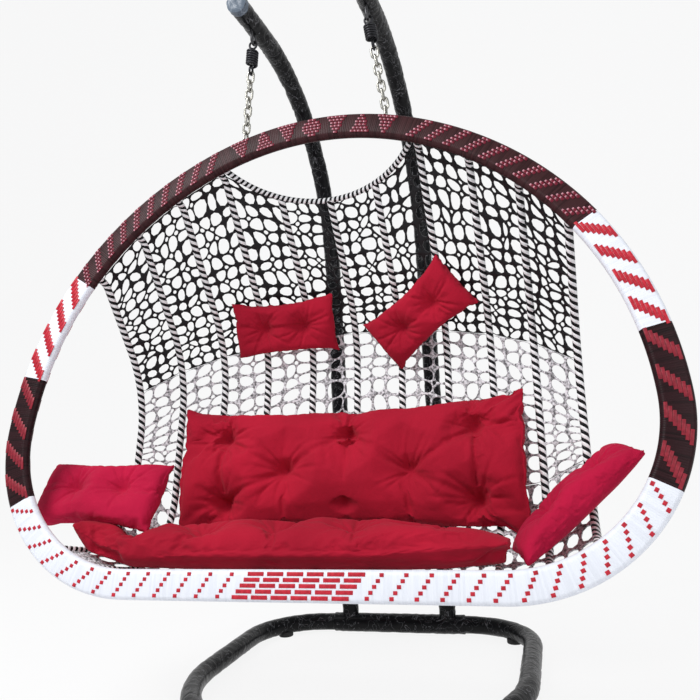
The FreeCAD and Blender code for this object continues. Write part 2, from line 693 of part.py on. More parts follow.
def wrap(rings_of):
    """A hollow length of the wrap; rings_of gives the rings of a section."""
    return flat_faced(rings_of(band_section)).cut(flat_faced(rings_of(wrap_section))).removeSplitter()


def lower_rings(section):
    right = hoop_rings(section, white_stretch)
    return mirrored(right) + right


def upper_rings(section):
    right = hoop_rings(section, upper_stretch)
    return right + mirrored(right)[1:]


node(feature("wrap_lower", wrap(lower_rings), basket), "wrap_lower")
for name, stretch in (("wrap_side", side_stretch), ("wrap_shoulder", shoulder_stretch)):
    right_wrap = wrap(lambda section: hoop_rings(section, stretch))
    node(feature(f"left_{name}", right_wrap.mirror(Vector(0, 0, 0), X), basket), f"left_{name}")
    node(feature(f"right_{name}", right_wrap, basket), f"right_{name}")
node(feature("wrap_upper", wrap(upper_rings), basket), "wrap_upper")
crown_tool = feature("crown_tool", flat_faced(upper_rings(band_section)), basket)

# spacers stand where the chords meet, square to the band, and reach from rod to rod
spacer_side = size("spacer_side")
rod_flat = size("rod_od") / 2 * cosd(180 / BAR_SIDES)
spacer_low = band_thick / 2 + rod_flat + spacer_side * sind(HOOP_CHORD / 2)
spacer_high = band_width - band_thick / 2 - rod_flat
spacers = []
for leg, degrees in [("flat", 0.3), ("flat", 0.9)] + [(leg, finish) for leg, begin, finish in half_hoop[:-1]]:
    block = Part.makeBox(spacer_side, spacer_side, spacer_high - spacer_low)
    block.translate(Vector(-spacer_side / 2, -spacer_side / 2, spacer_low))
    if leg == "flat":
        block.translate(Vector(flat * degrees, 0, 0))
    else:
        centre, radius, before = HOOP_LEGS[leg]
        block.translate(centre - Vector(0, 0, radius))
        block.rotate(centre, Y, -(before + degrees))
    spacers += [block, block.mirror(Vector(0, 0, 0), X)]
node(feature("hoop_spacers", Part.makeCompound(spacers), basket), "hoop_spacers")

for side, sign in SIDES:
    lug_leg = size("lug_rise") + band_thick / 2
    lug_steps = [
        ("run", lug_leg, "Sizes.lug_rise + Sizes.band_thick / 2"),
        ("turn", size("lug_bend"), "Sizes.lug_bend", 180, "", 1),
        ("run", lug_leg, "Sizes.lug_rise + Sizes.band_thick / 2"),
    ]
    foot = Vector(sign * lug_x, size("lug_bend"), lug_bend_z - lug_leg)
    place = basket.multiply(frame_at(foot, Z, Y * -1))
    lug_bar = tube(f"{side}_lug", lug_steps, place, sized("lug_bar"), None, BAR_SIDES, BAR_CHORD)
    node(cut(f"{side}_lug", lug_bar, crown_tool), f"{side}_lug")

# Bowl: eleven ribs behind the band, and the scalloped neckline bar

rib_od = size("rib_od")
slope = size("rib_slope")
back_bend = size("rib_back_bend")
seat_bend = size("rib_seat_bend")
root = size("rib_root")
root_bend = size("rib_root_bend")
rod_line = rod_insets["hoop_inner_rod"][0]
edge_x = size("rib_x5")
bowl_drop = size("bowl_depth") - size("bowl_edge")
plan_r = (edge_x**2 + bowl_drop**2) / (2 * bowl_drop)
face_y = band_thick / 2
rib_x = [0.0] + [size(f"rib_x{k}") for k in range(1, 6)]


def bowl_depth_at(x):
    return size("bowl_depth") - plan_r + math.sqrt(plan_r**2 - x**2)


def rib_profile(x):
    """Corner stations of a rib's centre line in the plane at x, as (y, z) pairs by name."""
    depth = bowl_depth_at(x)
    top = hoop_top(x, rod_line)
    bottom = hoop_bottom(x, rod_line)
    slope_start = (face_y + root + root_bend * sind(slope), top - root_bend * (1 - cosd(slope)))
    bend_y = depth - back_bend * (1 - sind(slope))
    slope_end = (bend_y, slope_start[1] - (bend_y - slope_start[0]) * math.tan(math.radians(slope)))
    bend_end = (depth, slope_end[1] - back_bend * cosd(slope))
    seat_start = (depth, bottom + seat_bend)
    seat_end = (depth - seat_bend, bottom)
    return {
        "top": (face_y, top),
        "slope_start": slope_start,
        "slope_end": slope_end,
        "bend_end": bend_end,
        "seat_start": seat_start,
        "seat_end": seat_end,
        "front": (face_y, bottom),
    }


neck_half = size("neck_half")
neck_dip = size("neck_dip")
neck_slope = size("neck_slope")
neck_r = (neck_half**2 + neck_dip**2) / (2 * neck_dip)
neck_top = hoop_top(neck_half, rod_line)


def neck_point(x):
    """Point of the neckline's centre line at x, as (y, z)."""
    along = math.sqrt(neck_r**2 - x**2) - neck_r + neck_dip
    return face_y + along * cosd(neck_slope), neck_top - along * sind(neck_slope)


neck_spare = size("neck_od") / 2
neck_turn = 2 * math.degrees(math.asin(neck_half / neck_r))
if neck_dip > neck_r:
    neck_turn = 360 - neck_turn
neck_plane_y = Vector(0, cosd(neck_slope), -sind(neck_slope))
neck_plane_n = X.cross(neck_plane_y)
neck_head = (X * cosd(neck_turn / 2) + neck_plane_y * sind(neck_turn / 2))
neck_left = neck_plane_n.cross(neck_head)
neck_start = Vector(-neck_half, face_y, neck_top) - neck_head * neck_spare
neck_steps = [
    ("run", neck_spare, ""),
    ("turn", neck_r, "", neck_turn, "", -1),
    ("run", neck_spare, ""),
]
neck_place = basket.multiply(frame_at(neck_start, neck_head, neck_left))
neck_bar = tube("neckline", neck_steps, neck_place, sized("neck_od"), None, BAR_SIDES, TUBE_CHORD)
front_block = Part.makeBox(2 * edge_x, 4 * band_width, 4 * band_width)
front_block.translate(Vector(-edge_x, face_y - 4 * band_width, neck_top - 2 * band_width))
neckline = node(cut("neckline", neck_bar, feature("front_block", front_block, basket)), "neckline_bar")


def rib(name, x):
    profile = rib_profile(x)
    down = profile["bend_end"][1] - profile["seat_start"][1]
    forward = profile["seat_end"][0] - profile["front"][0]
    lower_steps = [
        ("turn", back_bend, "Sizes.rib_back_bend", 90 - slope, "90 - Sizes.rib_slope", -1),
        ("run", down, ""),
        ("turn", seat_bend, "Sizes.rib_seat_bend", 90, "", -1),
        ("run", forward, ""),
    ]
    if abs(x) < neck_half - rib_od:
        start_y = neck_point(abs(x))[0] + size("neck_od") * 0.3
        slope_y, slope_z = profile["slope_start"]
        start_z = slope_z - (start_y - slope_y) * math.tan(math.radians(slope))
        run = (profile["slope_end"][0] - start_y) / cosd(slope)
        heading = Vector(0, cosd(slope), -sind(slope))
        left = Vector(0, sind(slope), cosd(slope))
        place = basket.multiply(frame_at(Vector(x, start_y, start_z), heading, left))
        steps = [("run", run, "")] + lower_steps
        body = tube(name, steps, place, sized("rib_od"), None, BAR_SIDES, TUBE_CHORD)
        return cut(name, body, neckline)
    run = (profile["slope_end"][0] - profile["slope_start"][0]) / cosd(slope)
    upper_steps = [
        ("run", root, "Sizes.rib_root"),
        ("turn", root_bend, "Sizes.rib_root_bend", slope, "Sizes.rib_slope", -1),
        ("run", run, ""),
    ]
    place = basket.multiply(frame_at(Vector(x, *profile["top"]), Y, Z))
    return tube(name, upper_steps + lower_steps, place, sized("rib_od"), None, BAR_SIDES, TUBE_CHORD)


node(rib("rib_middle", 0.0), "rib_middle")
for k in range(1, 6):
    for side, sign in SIDES:
        name = f"{side}_rib_{k}" if k < 5 else f"{side}_rib_edge"
        node(rib(name, sign * rib_x[k]), name)

# Net: one holed panel between each two ribs, dark on the sloping upper back,
# pale round the lower back and pale under the seat

net_half = size("net_thick") / 2
net_inset = rib_od / 2 + size("net_gap")
net_cord = size("net_cord")


NET_COLUMNS = 2
dark_end = 90 - slope - size("net_dark_turn")
seam_turn = math.degrees(size("net_seam") / back_bend)


def section_at(x, a, b, fraction, builder):
    """Strip profile between two ribs, a share of the way from rib a to rib b."""
    pa, pb = rib_profile(abs(a)), rib_profile(abs(b))
    blend = {key: tuple(pa[key][i] * (1 - fraction) + pb[key][i] * fraction for i in (0, 1)) for key in pa}
    return builder(x, blend)


def arc_row(x, centre, radius, first, last, pieces):
    """Points along an arc in the plane at x, from one angle to another."""
    row = []
    for k in range(pieces + 1):
        degrees = first + (last - first) * k / pieces
        row.append(Vector(x, centre[0] + radius * cosd(degrees), centre[1] + radius * sind(degrees)))
    return row


def net_rows(degrees, radius):
    """How many gaps of the net fit along an arc."""
    return max(1, int(math.radians(degrees) * radius / size("net_gap_length")))


def dark_bend_rows(x, p):
    """The upper part of the bend below the sloping back, which the dark net covers too."""
    centre = (p["bend_end"][0] - back_bend, p["bend_end"][1])
    pieces = net_rows(size("net_dark_turn"), back_bend)
    rows = []
    for r in (back_bend + net_half, back_bend - net_half):
        rows.append(arc_row(x, centre, r, 90 - slope - seam_turn, dark_end, pieces))
    return rows[0] + rows[1][::-1]


def low_back_rows(x, p):
    """The rest of the bend and the lower back, down to where the seat bend starts."""
    centre = (p["bend_end"][0] - back_bend, p["bend_end"][1])
    low = p["seat_start"][1] + size("net_seam")
    pieces = net_rows(dark_end, back_bend)
    rows = []
    for r in (back_bend + net_half, back_bend - net_half):
        rows.append(arc_row(x, centre, r, dark_end - seam_turn, 0, pieces) + [Vector(x, centre[0] + r, low)])
    return rows[0] + rows[1][::-1]


def seat_rows(x, p):
    """The bend from the lower back into the seat, and the seat up to a little behind the band."""
    centre = (p["seat_start"][0] - seat_bend, p["seat_start"][1])
    front = p["front"][0] + size("net_seat_stop")
    pieces = chord_count(90, TUBE_CHORD)
    rows = []
    for r in (seat_bend + net_half, seat_bend - net_half):
        rows.append(arc_row(x, centre, r, 0, -90, pieces) + [Vector(x, front, centre[1] - r)])
    return rows[0] + rows[1][::-1]


def gap_grid(corner, columns, rows):
    """Four-sided gaps on a panel. corner holds its corners: top a, top b, bottom a, bottom b."""
    top_a, top_b, low_a, low_b = corner
    width = ((top_b - top_a).Length + (low_b - low_a).Length) / 2
    length = ((low_a - top_a).Length + (low_b - top_b).Length) / 2
    cord_u = net_cord / width
    cord_v = net_cord / length
    gap_u = (1 - cord_u * (columns + 1)) / columns
    gap_v = (1 - cord_v * (rows + 1)) / rows

    def at(u, v):
        return (top_a * (1 - u) + top_b * u) * (1 - v) + (low_a * (1 - u) + low_b * u) * v

    wires = []
    for i in range(columns):
        for j in range(rows):
            u0 = cord_u + i * (gap_u + cord_u)
            v0 = cord_v + j * (gap_v + cord_v)
            ring = [at(u0, v0), at(u0 + gap_u, v0), at(u0 + gap_u, v0 + gap_v), at(u0, v0 + gap_v)]
            wires.append(ring)
    return wires


def bend_gaps(a, b, share, first, last):
    """Prisms that open gaps in the bend between ribs a and b, from one angle of the bend down to another."""
    pa, pb = rib_profile(a), rib_profile(b)
    rows = net_rows(first - last, back_bend)
    prisms = []
    for j in range(rows):
        high = first + (last - first) * j / rows
        low = first + (last - first) * (j + 1) / rows
        corners = []
        for degrees in (high, low):
            for fraction in (share, 1 - share):
                y = pa["bend_end"][0] * (1 - fraction) + pb["bend_end"][0] * fraction - back_bend
                z = pa["bend_end"][1] * (1 - fraction) + pb["bend_end"][1] * fraction
                x = a + (b - a) * fraction
                corners.append(Vector(x, y + back_bend * cosd(degrees), z + back_bend * sind(degrees)))
        middle = (high + low) / 2
        outward = Vector(0, cosd(middle), sind(middle)) * (4 * net_half)
        for ring in gap_grid(corners, NET_COLUMNS, 1):
            face = Part.Face(Part.makePolygon(ring + ring[:1]))
            face.translate(outward * -1)
            prisms.append(face.extrude(outward * 2))
    return prisms


upper_net, lower_net, seat_net = [], [], []
order = [-x for x in rib_x[:0:-1]] + rib_x
for a, b in zip(order, order[1:]):
    share = net_inset / (b - a)
    pa, pb = rib_profile(a), rib_profile(b)

    def between(key_a, key_b, fraction):
        y, z = [key_a[i] * (1 - fraction) + key_b[i] * fraction for i in (0, 1)]
        return Vector(a + (b - a) * fraction, y, z)

    tops = []
    for x, profile in ((a, pa), (b, pb)):
        start = profile["slope_start"]
        if abs(x) < neck_half + rib_od:
            y = max(start[0], neck_point(min(abs(x), neck_half))[0] + size("net_neck_stop"))
            start = (y, start[1] - (y - start[0]) * math.tan(math.radians(slope)))
        tops.append(start)
    corners = [
        between(tops[0], tops[1], share),
        between(tops[0], tops[1], 1 - share),
        between(pa["slope_end"], pb["slope_end"], share),
        between(pa["slope_end"], pb["slope_end"], 1 - share),
    ]
    normal = (corners[1] - corners[0]).cross(corners[2] - corners[0]).normalize()
    outline = [corners[0], corners[1], corners[3], corners[2]]
    rows = int((corners[2] - corners[0]).Length / size("net_gap_length"))
    face = Part.Face(Part.makePolygon(outline + outline[:1]))
    rings = [Part.makePolygon(ring + ring[:1]) for ring in gap_grid(corners, NET_COLUMNS, max(1, rows))]
    face = face.cut(Part.makeCompound([Part.Face(ring) for ring in rings])).Faces[0]
    face.translate(normal * -net_half)
    upper_net.append(face.extrude(normal * (2 * net_half)))
    strips = []
    for rows_of in (dark_bend_rows, low_back_rows, seat_rows):
        first = section_at(a + net_inset, a, b, share, rows_of)
        second = section_at(b - net_inset, a, b, 1 - share, rows_of)
        strips.append(flat_faced([first, second]))
    dark_gaps = bend_gaps(a, b, share, 90 - slope, dark_end)
    pale_gaps = bend_gaps(a, b, share, dark_end, 0)
    upper_net.append(strips[0].cut(Part.makeCompound(dark_gaps)))
    lower_net.append(strips[1].cut(Part.makeCompound(pale_gaps)))
    seat_net.append(strips[2])

node(feature("net_upper", Part.makeCompound(upper_net), basket), "net_upper")
node(feature("net_lower", Part.makeCompound(lower_net), basket), "net_lower")
node(feature("net_seat", Part.makeCompound(seat_net), basket), "net_seat")

# Cushions: lens-shaped sections along the length, drawn in between the corners, with sewn tufts

cushion_edge = size("cushion_edge")
STATIONS = (-1.0, -0.9, -0.7, -0.35, 0.0, 0.35, 0.7, 0.9, 1.0)
LENS_CHORDS = 8


def crown(station):
    """Share of the full thickness at a station from -1 to 1 along a cushion."""
    return 0.18 + 0.82 * (1 - station**4)


def lens(x, low, high, front, back, shift):
    """Ring of points round a cushion's section at x, two shallow arcs between its seams."""
    half = (high - low) / 2
    ring = []
    for side, bulge in ((-1, front), (1, back)):
        radius = (half**2 + bulge**2) / (2 * bulge)
        span = math.degrees(math.asin(half / radius))
        for k in range(LENS_CHORDS + 1):
            degrees = span * (2 * k / LENS_CHORDS - 1)
            out = cushion_edge / 2 + bulge - radius * (1 - cosd(degrees))
            ring.append(Vector(x, shift + side * out, low + half - side * radius * sind(degrees)))
    return ring


def cushion(length, thick, front_share, seams, shift):
    """Cushion along X. seams(x) gives the two seams, shift(x) how far the section lies to the back."""
    bulge = thick - cushion_edge
    rings = []
    for station in STATIONS:
        x = station * length / 2
        low, high = seams(x)
        draw = 0.025 * (high - low) * (1 - station**2)
        front = bulge * front_share * crown(station)
        back = bulge * (1 - front_share) * crown(station)
        rings.append(lens(x, low + draw, high - draw, front, back, shift(x)))
    return flat_faced(rings)


def pillow(length, height, thick, front_share, tuft_columns):
    """Plain pillow about its middle, with one row of tufts in its front."""
    shape = cushion(length, thick, front_share, lambda x: (-height / 2, height / 2), lambda x: 0.0)
    for column in tuft_columns:
        face = -cushion_edge / 2 - (thick - cushion_edge) * front_share * crown(column)
        shape = shape.cut(tuft(Vector(column * length / 2, face, 0), Y))
    return shape


def tuft(point, direction):
    """Eight-sided dimple, its mouth a little outside the cushion's face."""
    depth = size("tuft_depth")
    radius = size("tuft_od") / 2
    turn = Rotation(Z, direction)
    rings = []
    for reach, width in ((-0.5 * depth, 1.5 * radius), (0.95 * depth, 0.05 * radius)):
        corners = [Vector(cosd(45 * k) * width, sind(45 * k) * width, reach) for k in range(8)]
        rings.append([point + turn.multVec(corner) for corner in corners])
    return flat_faced(rings)


back_length = size("back_length")
back_height = size("back_height")
back_bulge = size("back_thick") - cushion_edge
back_share = 0.75
back_seam_y = size("rib_od") / 2 + size("cushion_gap") + back_bulge * (1 - back_share) + cushion_edge / 2


def back_shift(x):
    return bowl_depth_at(x) - back_seam_y


back_seams = (-back_height / 2, back_height / 2)
back = cushion(back_length, size("back_thick"), back_share, lambda x: back_seams, back_shift)
TUFT_ROWS = ((0.24, (-0.72, 0.0, 0.72)), (-0.03, (-0.36, 0.36)), (-0.29, (-0.72, 0.0, 0.72)))
for row_height, columns in TUFT_ROWS:
    for column in columns:
        x = column * back_length / 2
        z = row_height * back_height
        bulge_here = back_bulge * back_share * crown(column) * (1 - (2 * row_height) ** 2)
        back = back.cut(tuft(Vector(x, back_shift(x) - cushion_edge / 2 - bulge_here, z), Y))
back.translate(Vector(0, 0, size("back_mid_z")))
node(feature("back_cushion", back, basket), "back_cushion")

# The seat cushion is drawn standing and laid down: its front becomes its top
seat_bulge = size("seat_thick") - cushion_edge
seat_share = 0.7
seat_seam_z = rib_od / 2 + size("cushion_gap") + seat_bulge * (1 - seat_share) + cushion_edge / 2
seat = cushion(
    size("seat_length"), size("seat_thick"), seat_share,
    lambda x: (size("seat_front"), bowl_depth_at(x - size("seat_shift")) - size("seat_rear")),
    lambda x: -(hoop_bottom(x - size("seat_shift"), rod_line) + seat_seam_z),
)
seat.rotate(Vector(0, 0, 0), X, -90)
seat.translate(Vector(-size("seat_shift"), 0, 0))
node(feature("seat_cushion", seat, basket), "seat_cushion")

for side, sign in SIDES:
    arm = pillow(size("arm_length"), size("arm_height"), size("arm_thick"), 0.6, (-0.4, 0.4))
    arm.rotate(Vector(0, 0, 0), X, -size(f"{side}_arm_lean"))
    arm.rotate(Vector(0, 0, 0), Y, -sign * size(f"{side}_arm_roll"))
    arm.translate(Vector(sign * size(f"{side}_arm_x"), size(f"{side}_arm_y"), size(f"{side}_arm_z")))
    node(feature(f"{side}_arm_cushion", arm, basket), f"{side}_arm_cushion")

# The head cushions lean on the bend of the back, square to it
head_bulge = size("head_thick") - cushion_edge
head_share = 0.6
for side, sign in SIDES:
    x = sign * size(f"{side}_head_x")
    profile = rib_profile(abs(x))
    lift = size("head_z") - profile["bend_end"][1]
    tilt = math.degrees(math.asin(lift / back_bend))
    stand_off = rib_od / 2 + size(f"{side}_head_gap") + head_bulge * (1 - head_share) + cushion_edge / 2
    step = size("head_length") / 2
    fall = bowl_depth_at(abs(x) - step) - bowl_depth_at(abs(x) + step)
    yaw = math.degrees(math.atan2(fall, 2 * step))
    head = pillow(size("head_length"), size("head_height"), size("head_thick"), head_share, (-0.36, 0.36))
    head.rotate(Vector(0, 0, 0), Y, -size(f"{side}_head_roll"))
    head.rotate(Vector(0, 0, 0), X, tilt)
    head.rotate(Vector(0, 0, 0), Z, -sign * yaw)
    y = profile["bend_end"][0] - back_bend + (back_bend - stand_off) * cosd(tilt)
    z = profile["bend_end"][1] + (back_bend - stand_off) * sind(tilt)
    head.translate(Vector(x, y, z))
    node(feature(f"{side}_head_cushion", head, basket), f"{side}_head_cushion")

doc.recompute()

for obj in doc.Objects:
    if "Invalid" in obj.State or "Error" in obj.State:
        raise RuntimeError(f"{obj.Name} is {obj.State}")
for obj in NODES:
    shape = obj.Shape
    if shape.isNull() or not shape.isValid():
        raise RuntimeError(f"{obj.Label} has no valid shape")

os.makedirs("parts", exist_ok=True)
for obj in NODES:
    obj.Shape.exportStep(f"parts/{obj.Label}.step")
print(len(NODES), "nodes; eye pivot", eye_pivot, "lug pivot", lug_pivot)
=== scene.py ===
import itertools
import json
import math
import random

import bmesh
import bpy
import numpy as np
from mathutils import Matrix, Vector, noise


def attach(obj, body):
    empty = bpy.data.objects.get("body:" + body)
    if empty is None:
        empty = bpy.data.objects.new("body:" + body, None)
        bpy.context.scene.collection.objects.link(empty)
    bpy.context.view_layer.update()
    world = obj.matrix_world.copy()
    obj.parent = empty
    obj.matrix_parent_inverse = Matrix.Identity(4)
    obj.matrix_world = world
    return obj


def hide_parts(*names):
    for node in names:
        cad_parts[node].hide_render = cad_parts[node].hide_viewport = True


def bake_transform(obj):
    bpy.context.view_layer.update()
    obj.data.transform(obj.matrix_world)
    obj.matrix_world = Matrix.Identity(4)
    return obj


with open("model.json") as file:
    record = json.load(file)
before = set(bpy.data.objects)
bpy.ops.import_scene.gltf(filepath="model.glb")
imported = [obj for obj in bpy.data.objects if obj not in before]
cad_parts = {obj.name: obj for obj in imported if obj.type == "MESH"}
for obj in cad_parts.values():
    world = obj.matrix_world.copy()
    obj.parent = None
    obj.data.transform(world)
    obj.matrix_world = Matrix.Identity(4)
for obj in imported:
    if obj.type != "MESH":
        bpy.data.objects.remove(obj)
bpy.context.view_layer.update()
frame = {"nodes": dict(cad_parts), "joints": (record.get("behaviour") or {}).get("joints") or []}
scene = bpy.context.scene
scene.view_settings.view_transform = "Standard"

# Studio: one pale sweep of floor and wall, a broad soft lamp over the front left and a weaker one
# on the right, and a low camera close to the front right corner of the seat.
camera_data = bpy.data.cameras.new("camera")
camera_data.sensor_width = 36.0
camera_data.lens = 36.0
camera_data.clip_start = 0.05
camera = bpy.data.objects.new("camera", camera_data)
camera.location = (0.5056, -1.7204, 0.6274)
camera.rotation_euler = [math.radians(turn) for turn in (96.275, 3.115, 16.316)]
scene.collection.objects.link(camera)
scene.camera = camera


def new_finish(name, colour, roughness, gloss=0.5):
    """A procedural finish with its shader's constant values set on the shader's own sockets."""
    finish = bpy.data.materials.new(name)
    finish.use_nodes = True
    tree = finish.node_tree
    shader = tree.nodes["Principled BSDF"]
    shader.inputs["Base Color"].default_value = (*colour, 1)
    shader.inputs["Roughness"].default_value = roughness
    shader.inputs["Specular IOR Level"].default_value = gloss
    return finish, tree, shader


def add_node(tree, kind, inputs, operation=""):
    """Adds a shader node. An input is a constant or a node's output, by its socket's name or number."""
    node = tree.nodes.new(f"ShaderNode{kind}")
    if operation:
        node.operation = operation
    for socket, value in inputs.items():
        if isinstance(value, bpy.types.NodeSocket):
            tree.links.new(value, node.inputs[socket])
        else:
            node.inputs[socket].default_value = value
    return node


def add_maths(tree, operation, *values):
    """Adds one step of arithmetic and gives its result."""
    return add_node(tree, "Math", dict(enumerate(values)), operation).outputs["Value"]


floor_reach = 9.0
floor_middle_y = -3.0
sweep_radius = 2.5
floor_mesh = bpy.data.meshes.new("floor")
floor_form = bmesh.new()
bmesh.ops.create_grid(floor_form, x_segments=1, y_segments=1, size=floor_reach)
bmesh.ops.translate(floor_form, vec=(0, floor_middle_y, 0), verts=floor_form.verts)
rear_edge = [edge for edge in floor_form.edges if all(point.co.y > floor_middle_y for point in edge.verts)]
wall = bmesh.ops.extrude_edge_only(floor_form, edges=rear_edge)["geom"]
wall_top = [part for part in wall if isinstance(part, bmesh.types.BMVert)]
bmesh.ops.translate(floor_form, vec=(0, 0, floor_reach), verts=wall_top)
bmesh.ops.bevel(
    floor_form, geom=rear_edge, offset=sweep_radius, segments=16, profile=0.5, affect="EDGES", material=-1,
)
for face in floor_form.faces:
    face.smooth = True
floor_form.to_mesh(floor_mesh)
floor_form.free()
floor_finish, floor_tree, floor_shader = new_finish("pale_sweep", (0.86, 0.86, 0.87), roughness=0.9)
# seen directly or in a reflection, the sweep is mostly plain white and keeps part of the shadow
white_share = 0.88
ray = floor_tree.nodes.new("ShaderNodeLightPath").outputs
seen = add_maths(floor_tree, "MAXIMUM", ray["Is Camera Ray"], ray["Is Glossy Ray"])
through = add_maths(floor_tree, "MAXIMUM", seen, ray["Is Transmission Ray"])
share = add_maths(floor_tree, "MULTIPLY", through, white_share)
white = add_node(floor_tree, "Emission", {"Color": (1, 1, 1, 1), "Strength": 1.0}).outputs["Emission"]
both = add_node(floor_tree, "MixShader", {"Fac": share, 1: floor_shader.outputs["BSDF"], 2: white})
floor_tree.links.new(both.outputs["Shader"], floor_tree.nodes["Material Output"].inputs["Surface"])
floor_mesh.materials.append(floor_finish)
floor = bpy.data.objects.new("floor", floor_mesh)
scene.collection.objects.link(floor)

world = bpy.data.worlds.new("studio")
world.use_nodes = True
world.node_tree.nodes["Background"].inputs["Color"].default_value = (0.95, 0.97, 1.0, 1)
world.node_tree.nodes["Background"].inputs["Strength"].default_value = 0.50
scene.world = world
for lamp_name, lamp_place, lamp_aim, lamp_size, lamp_power in (
    ("key_lamp", (-1.5, -2.0, 3.3), (0, 0, 0.7), 1.3, 92.0),
    ("side_lamp", (2.4, -2.4, 1.7), (0, 0, 0.7), 1.8, 24.0),
):
    lamp_data = bpy.data.lights.new(lamp_name, "AREA")
    lamp_data.size = lamp_size
    lamp_data.energy = lamp_power
    lamp = bpy.data.objects.new(lamp_name, lamp_data)
    lamp.location = lamp_place
    lamp.rotation_euler = (Vector(lamp_aim) - Vector(lamp_place)).to_track_quat("-Z", "Y").to_euler()
    scene.collection.objects.link(lamp)

# Foot ring and rear sleeve: round steel tube, bent cold, wound in thin black plastic film that is pulled
# tight in a spiral and left full of small shiny creases. The ring's two ends are pushed into the sleeve.
tube_width = 0.048
ring_half_width = 0.400
ring_length = 0.840
ring_corner = 0.190
ring_height = 0.031
tube_sides = 28
sleeve_width = 0.054
sleeve_stop = 0.010
sleeve_length = 2 * (ring_half_width - ring_corner - sleeve_stop)
rear_y = ring_length / 2 - (sleeve_width - tube_width) / 4


def frame_at(origin, heading, left):
    """A place on a bar: X along its heading, Z to the side that left turns go to."""
    heading, left = Vector(heading).normalized(), Vector(left).normalized()
    turn = Matrix((heading, left.cross(heading), left)).transposed()
    return Matrix.Translation(origin) @ turn.to_4x4()


def step_move(step, share):
    """The move over a share of one step of a bar: a run (length), a turn (radius, degrees, left is plus)
    or a coil (radius, degrees, rise per turn)."""
    if step[0] == "run":
        return Matrix.Translation((step[1] * share, 0, 0))
    side = math.copysign(step[1], step[2])
    turn = Matrix.Rotation(-math.radians(step[2]) * share, 4, "Y")
    rise = step[3] * abs(step[2]) / 360 * share if step[0] == "coil" else 0.0
    return Matrix.Translation((0, rise, side)) @ turn @ Matrix.Translation((0, 0, -side))


def step_length(step):
    """The length of a step along the middle of its bar."""
    return step[1] if step[0] == "run" else step[1] * math.radians(abs(step[2]))


def bent_bar(steps, width, sides, place, flat=0.0, grain=0.012, closed=False):
    """Sweeps a round section, or with flat a long one with round edges, along the steps by extruding its
    ring. Each point keeps its place round the section and along the bar in the attribute wind."""
    form = bmesh.new()
    wind = form.verts.layers.float_vector.new("wind")
    quarter = Matrix.Rotation(math.radians(90), 4, "Y")
    bmesh.ops.create_circle(form, segments=sides, radius=width / 2, matrix=quarter)
    for point in form.verts:
        point[wind] = (2 * point.co.y / width, 2 * point.co.z / width, 0.0)
        point.co.z += math.copysign(flat / 2, point.co.z)
    ring = list(form.edges)
    here = Matrix()
    along = 0.0
    for step in steps:
        pieces = max(1, round(step_length(step) / grain))
        move = step_move(step, 1 / pieces)
        for piece in range(pieces):
            made = bmesh.ops.extrude_edge_only(form, edges=ring)["geom"]
            points = {part for part in made if isinstance(part, bmesh.types.BMVert)}
            edges = [part for part in made if isinstance(part, bmesh.types.BMEdge)]
            ring = [edge for edge in edges if set(edge.verts) <= points]
            bmesh.ops.transform(form, matrix=here @ move @ here.inverted(), verts=list(points))
            here = here @ move
            along += step_length(step) / pieces
            for point in points:
                point[wind] = (point[wind][0], point[wind][1], along)
    if closed:
        bmesh.ops.remove_doubles(form, verts=form.verts, dist=width * 0.02)
    else:
        bmesh.ops.holes_fill(form, edges=[edge for edge in form.edges if edge.is_boundary], sides=0)
    bmesh.ops.transform(form, matrix=place, verts=form.verts)
    bmesh.ops.recalc_face_normals(form, faces=form.faces)
    return form


def crease(form, depth, scale):
    """Pushes the film's surface in and out by a fine, fixed noise."""
    form.normal_update()
    for point in form.verts:
        ridge = 1 - 2 * abs(noise.noise(point.co * scale))
        point.co += point.normal * (depth * (ridge - 0.5))


def new_object(form, name, finish):
    """Makes a finished form an object at the origin, with smooth faces."""
    mesh = bpy.data.meshes.new(name)
    for face in form.faces:
        face.smooth = True
    form.to_mesh(mesh)
    form.free()
    mesh.materials.append(finish)
    piece = bpy.data.objects.new(name, mesh)
    scene.collection.objects.link(piece)
    return piece


def keep(form, name, finish, body, nodes=()):
    """Makes a finished form an object that rides on its body in place of its CAD nodes."""
    piece = new_object(form, name, finish)
    piece.data.set_sharp_from_angle(angle=math.radians(50))
    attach(piece, body)
    if nodes:
        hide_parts(*nodes)
    return piece


def add_noise(tree, inputs):
    """Noise over a piece's own coordinates."""
    place = tree.nodes.new("ShaderNodeTexCoord")
    return add_node(tree, "TexNoise", {"Vector": place.outputs["Object"], **inputs}).outputs["Fac"]


def tint_by(tree, shader, value, *stops):
    """Colours a finish by a ramp. A stop is a place on the ramp and a colour."""
    ramp = add_node(tree, "ValToRGB", {"Fac": value})
    elements = ramp.color_ramp.elements
    for element, (place, colour) in zip(elements, (stops[0], stops[-1])):
        element.position = place
        element.color = (*colour, 1)
    for place, colour in stops[1:-1]:
        elements.new(place).color = (*colour, 1)
    tree.links.new(ramp.outputs["Color"], shader.inputs["Base Color"])


def bump_by(tree, shader, height, strength, distance):
    """Raises a finish's surface by a height."""
    bump = add_node(tree, "Bump", {"Height": height, "Strength": strength, "Distance": distance})
    tree.links.new(bump.outputs["Normal"], shader.inputs["Normal"])
    return bump


def film_finish(name, colour, painted_highlight):
    """Plastic film: black or grey with a low gloss and creased, with pale painted highlights along the
    sharpest creases.
    """
    finish, tree, shader = new_finish(name, colour, roughness=0.3, gloss=0.14)
    creases = add_noise(tree, {"Scale": 24.0, "Detail": 2.5, "Roughness": 0.5, "Distortion": 1.8})
    bump_by(tree, shader, creases, strength=0.7, distance=0.004)
    # a narrow band in the middle of the crease noise is coloured pale: painted highlights along the sharpest
    # creases
    tint_by(tree, shader, creases, (0.488, colour), (0.50, painted_highlight), (0.512, colour))
    return finish
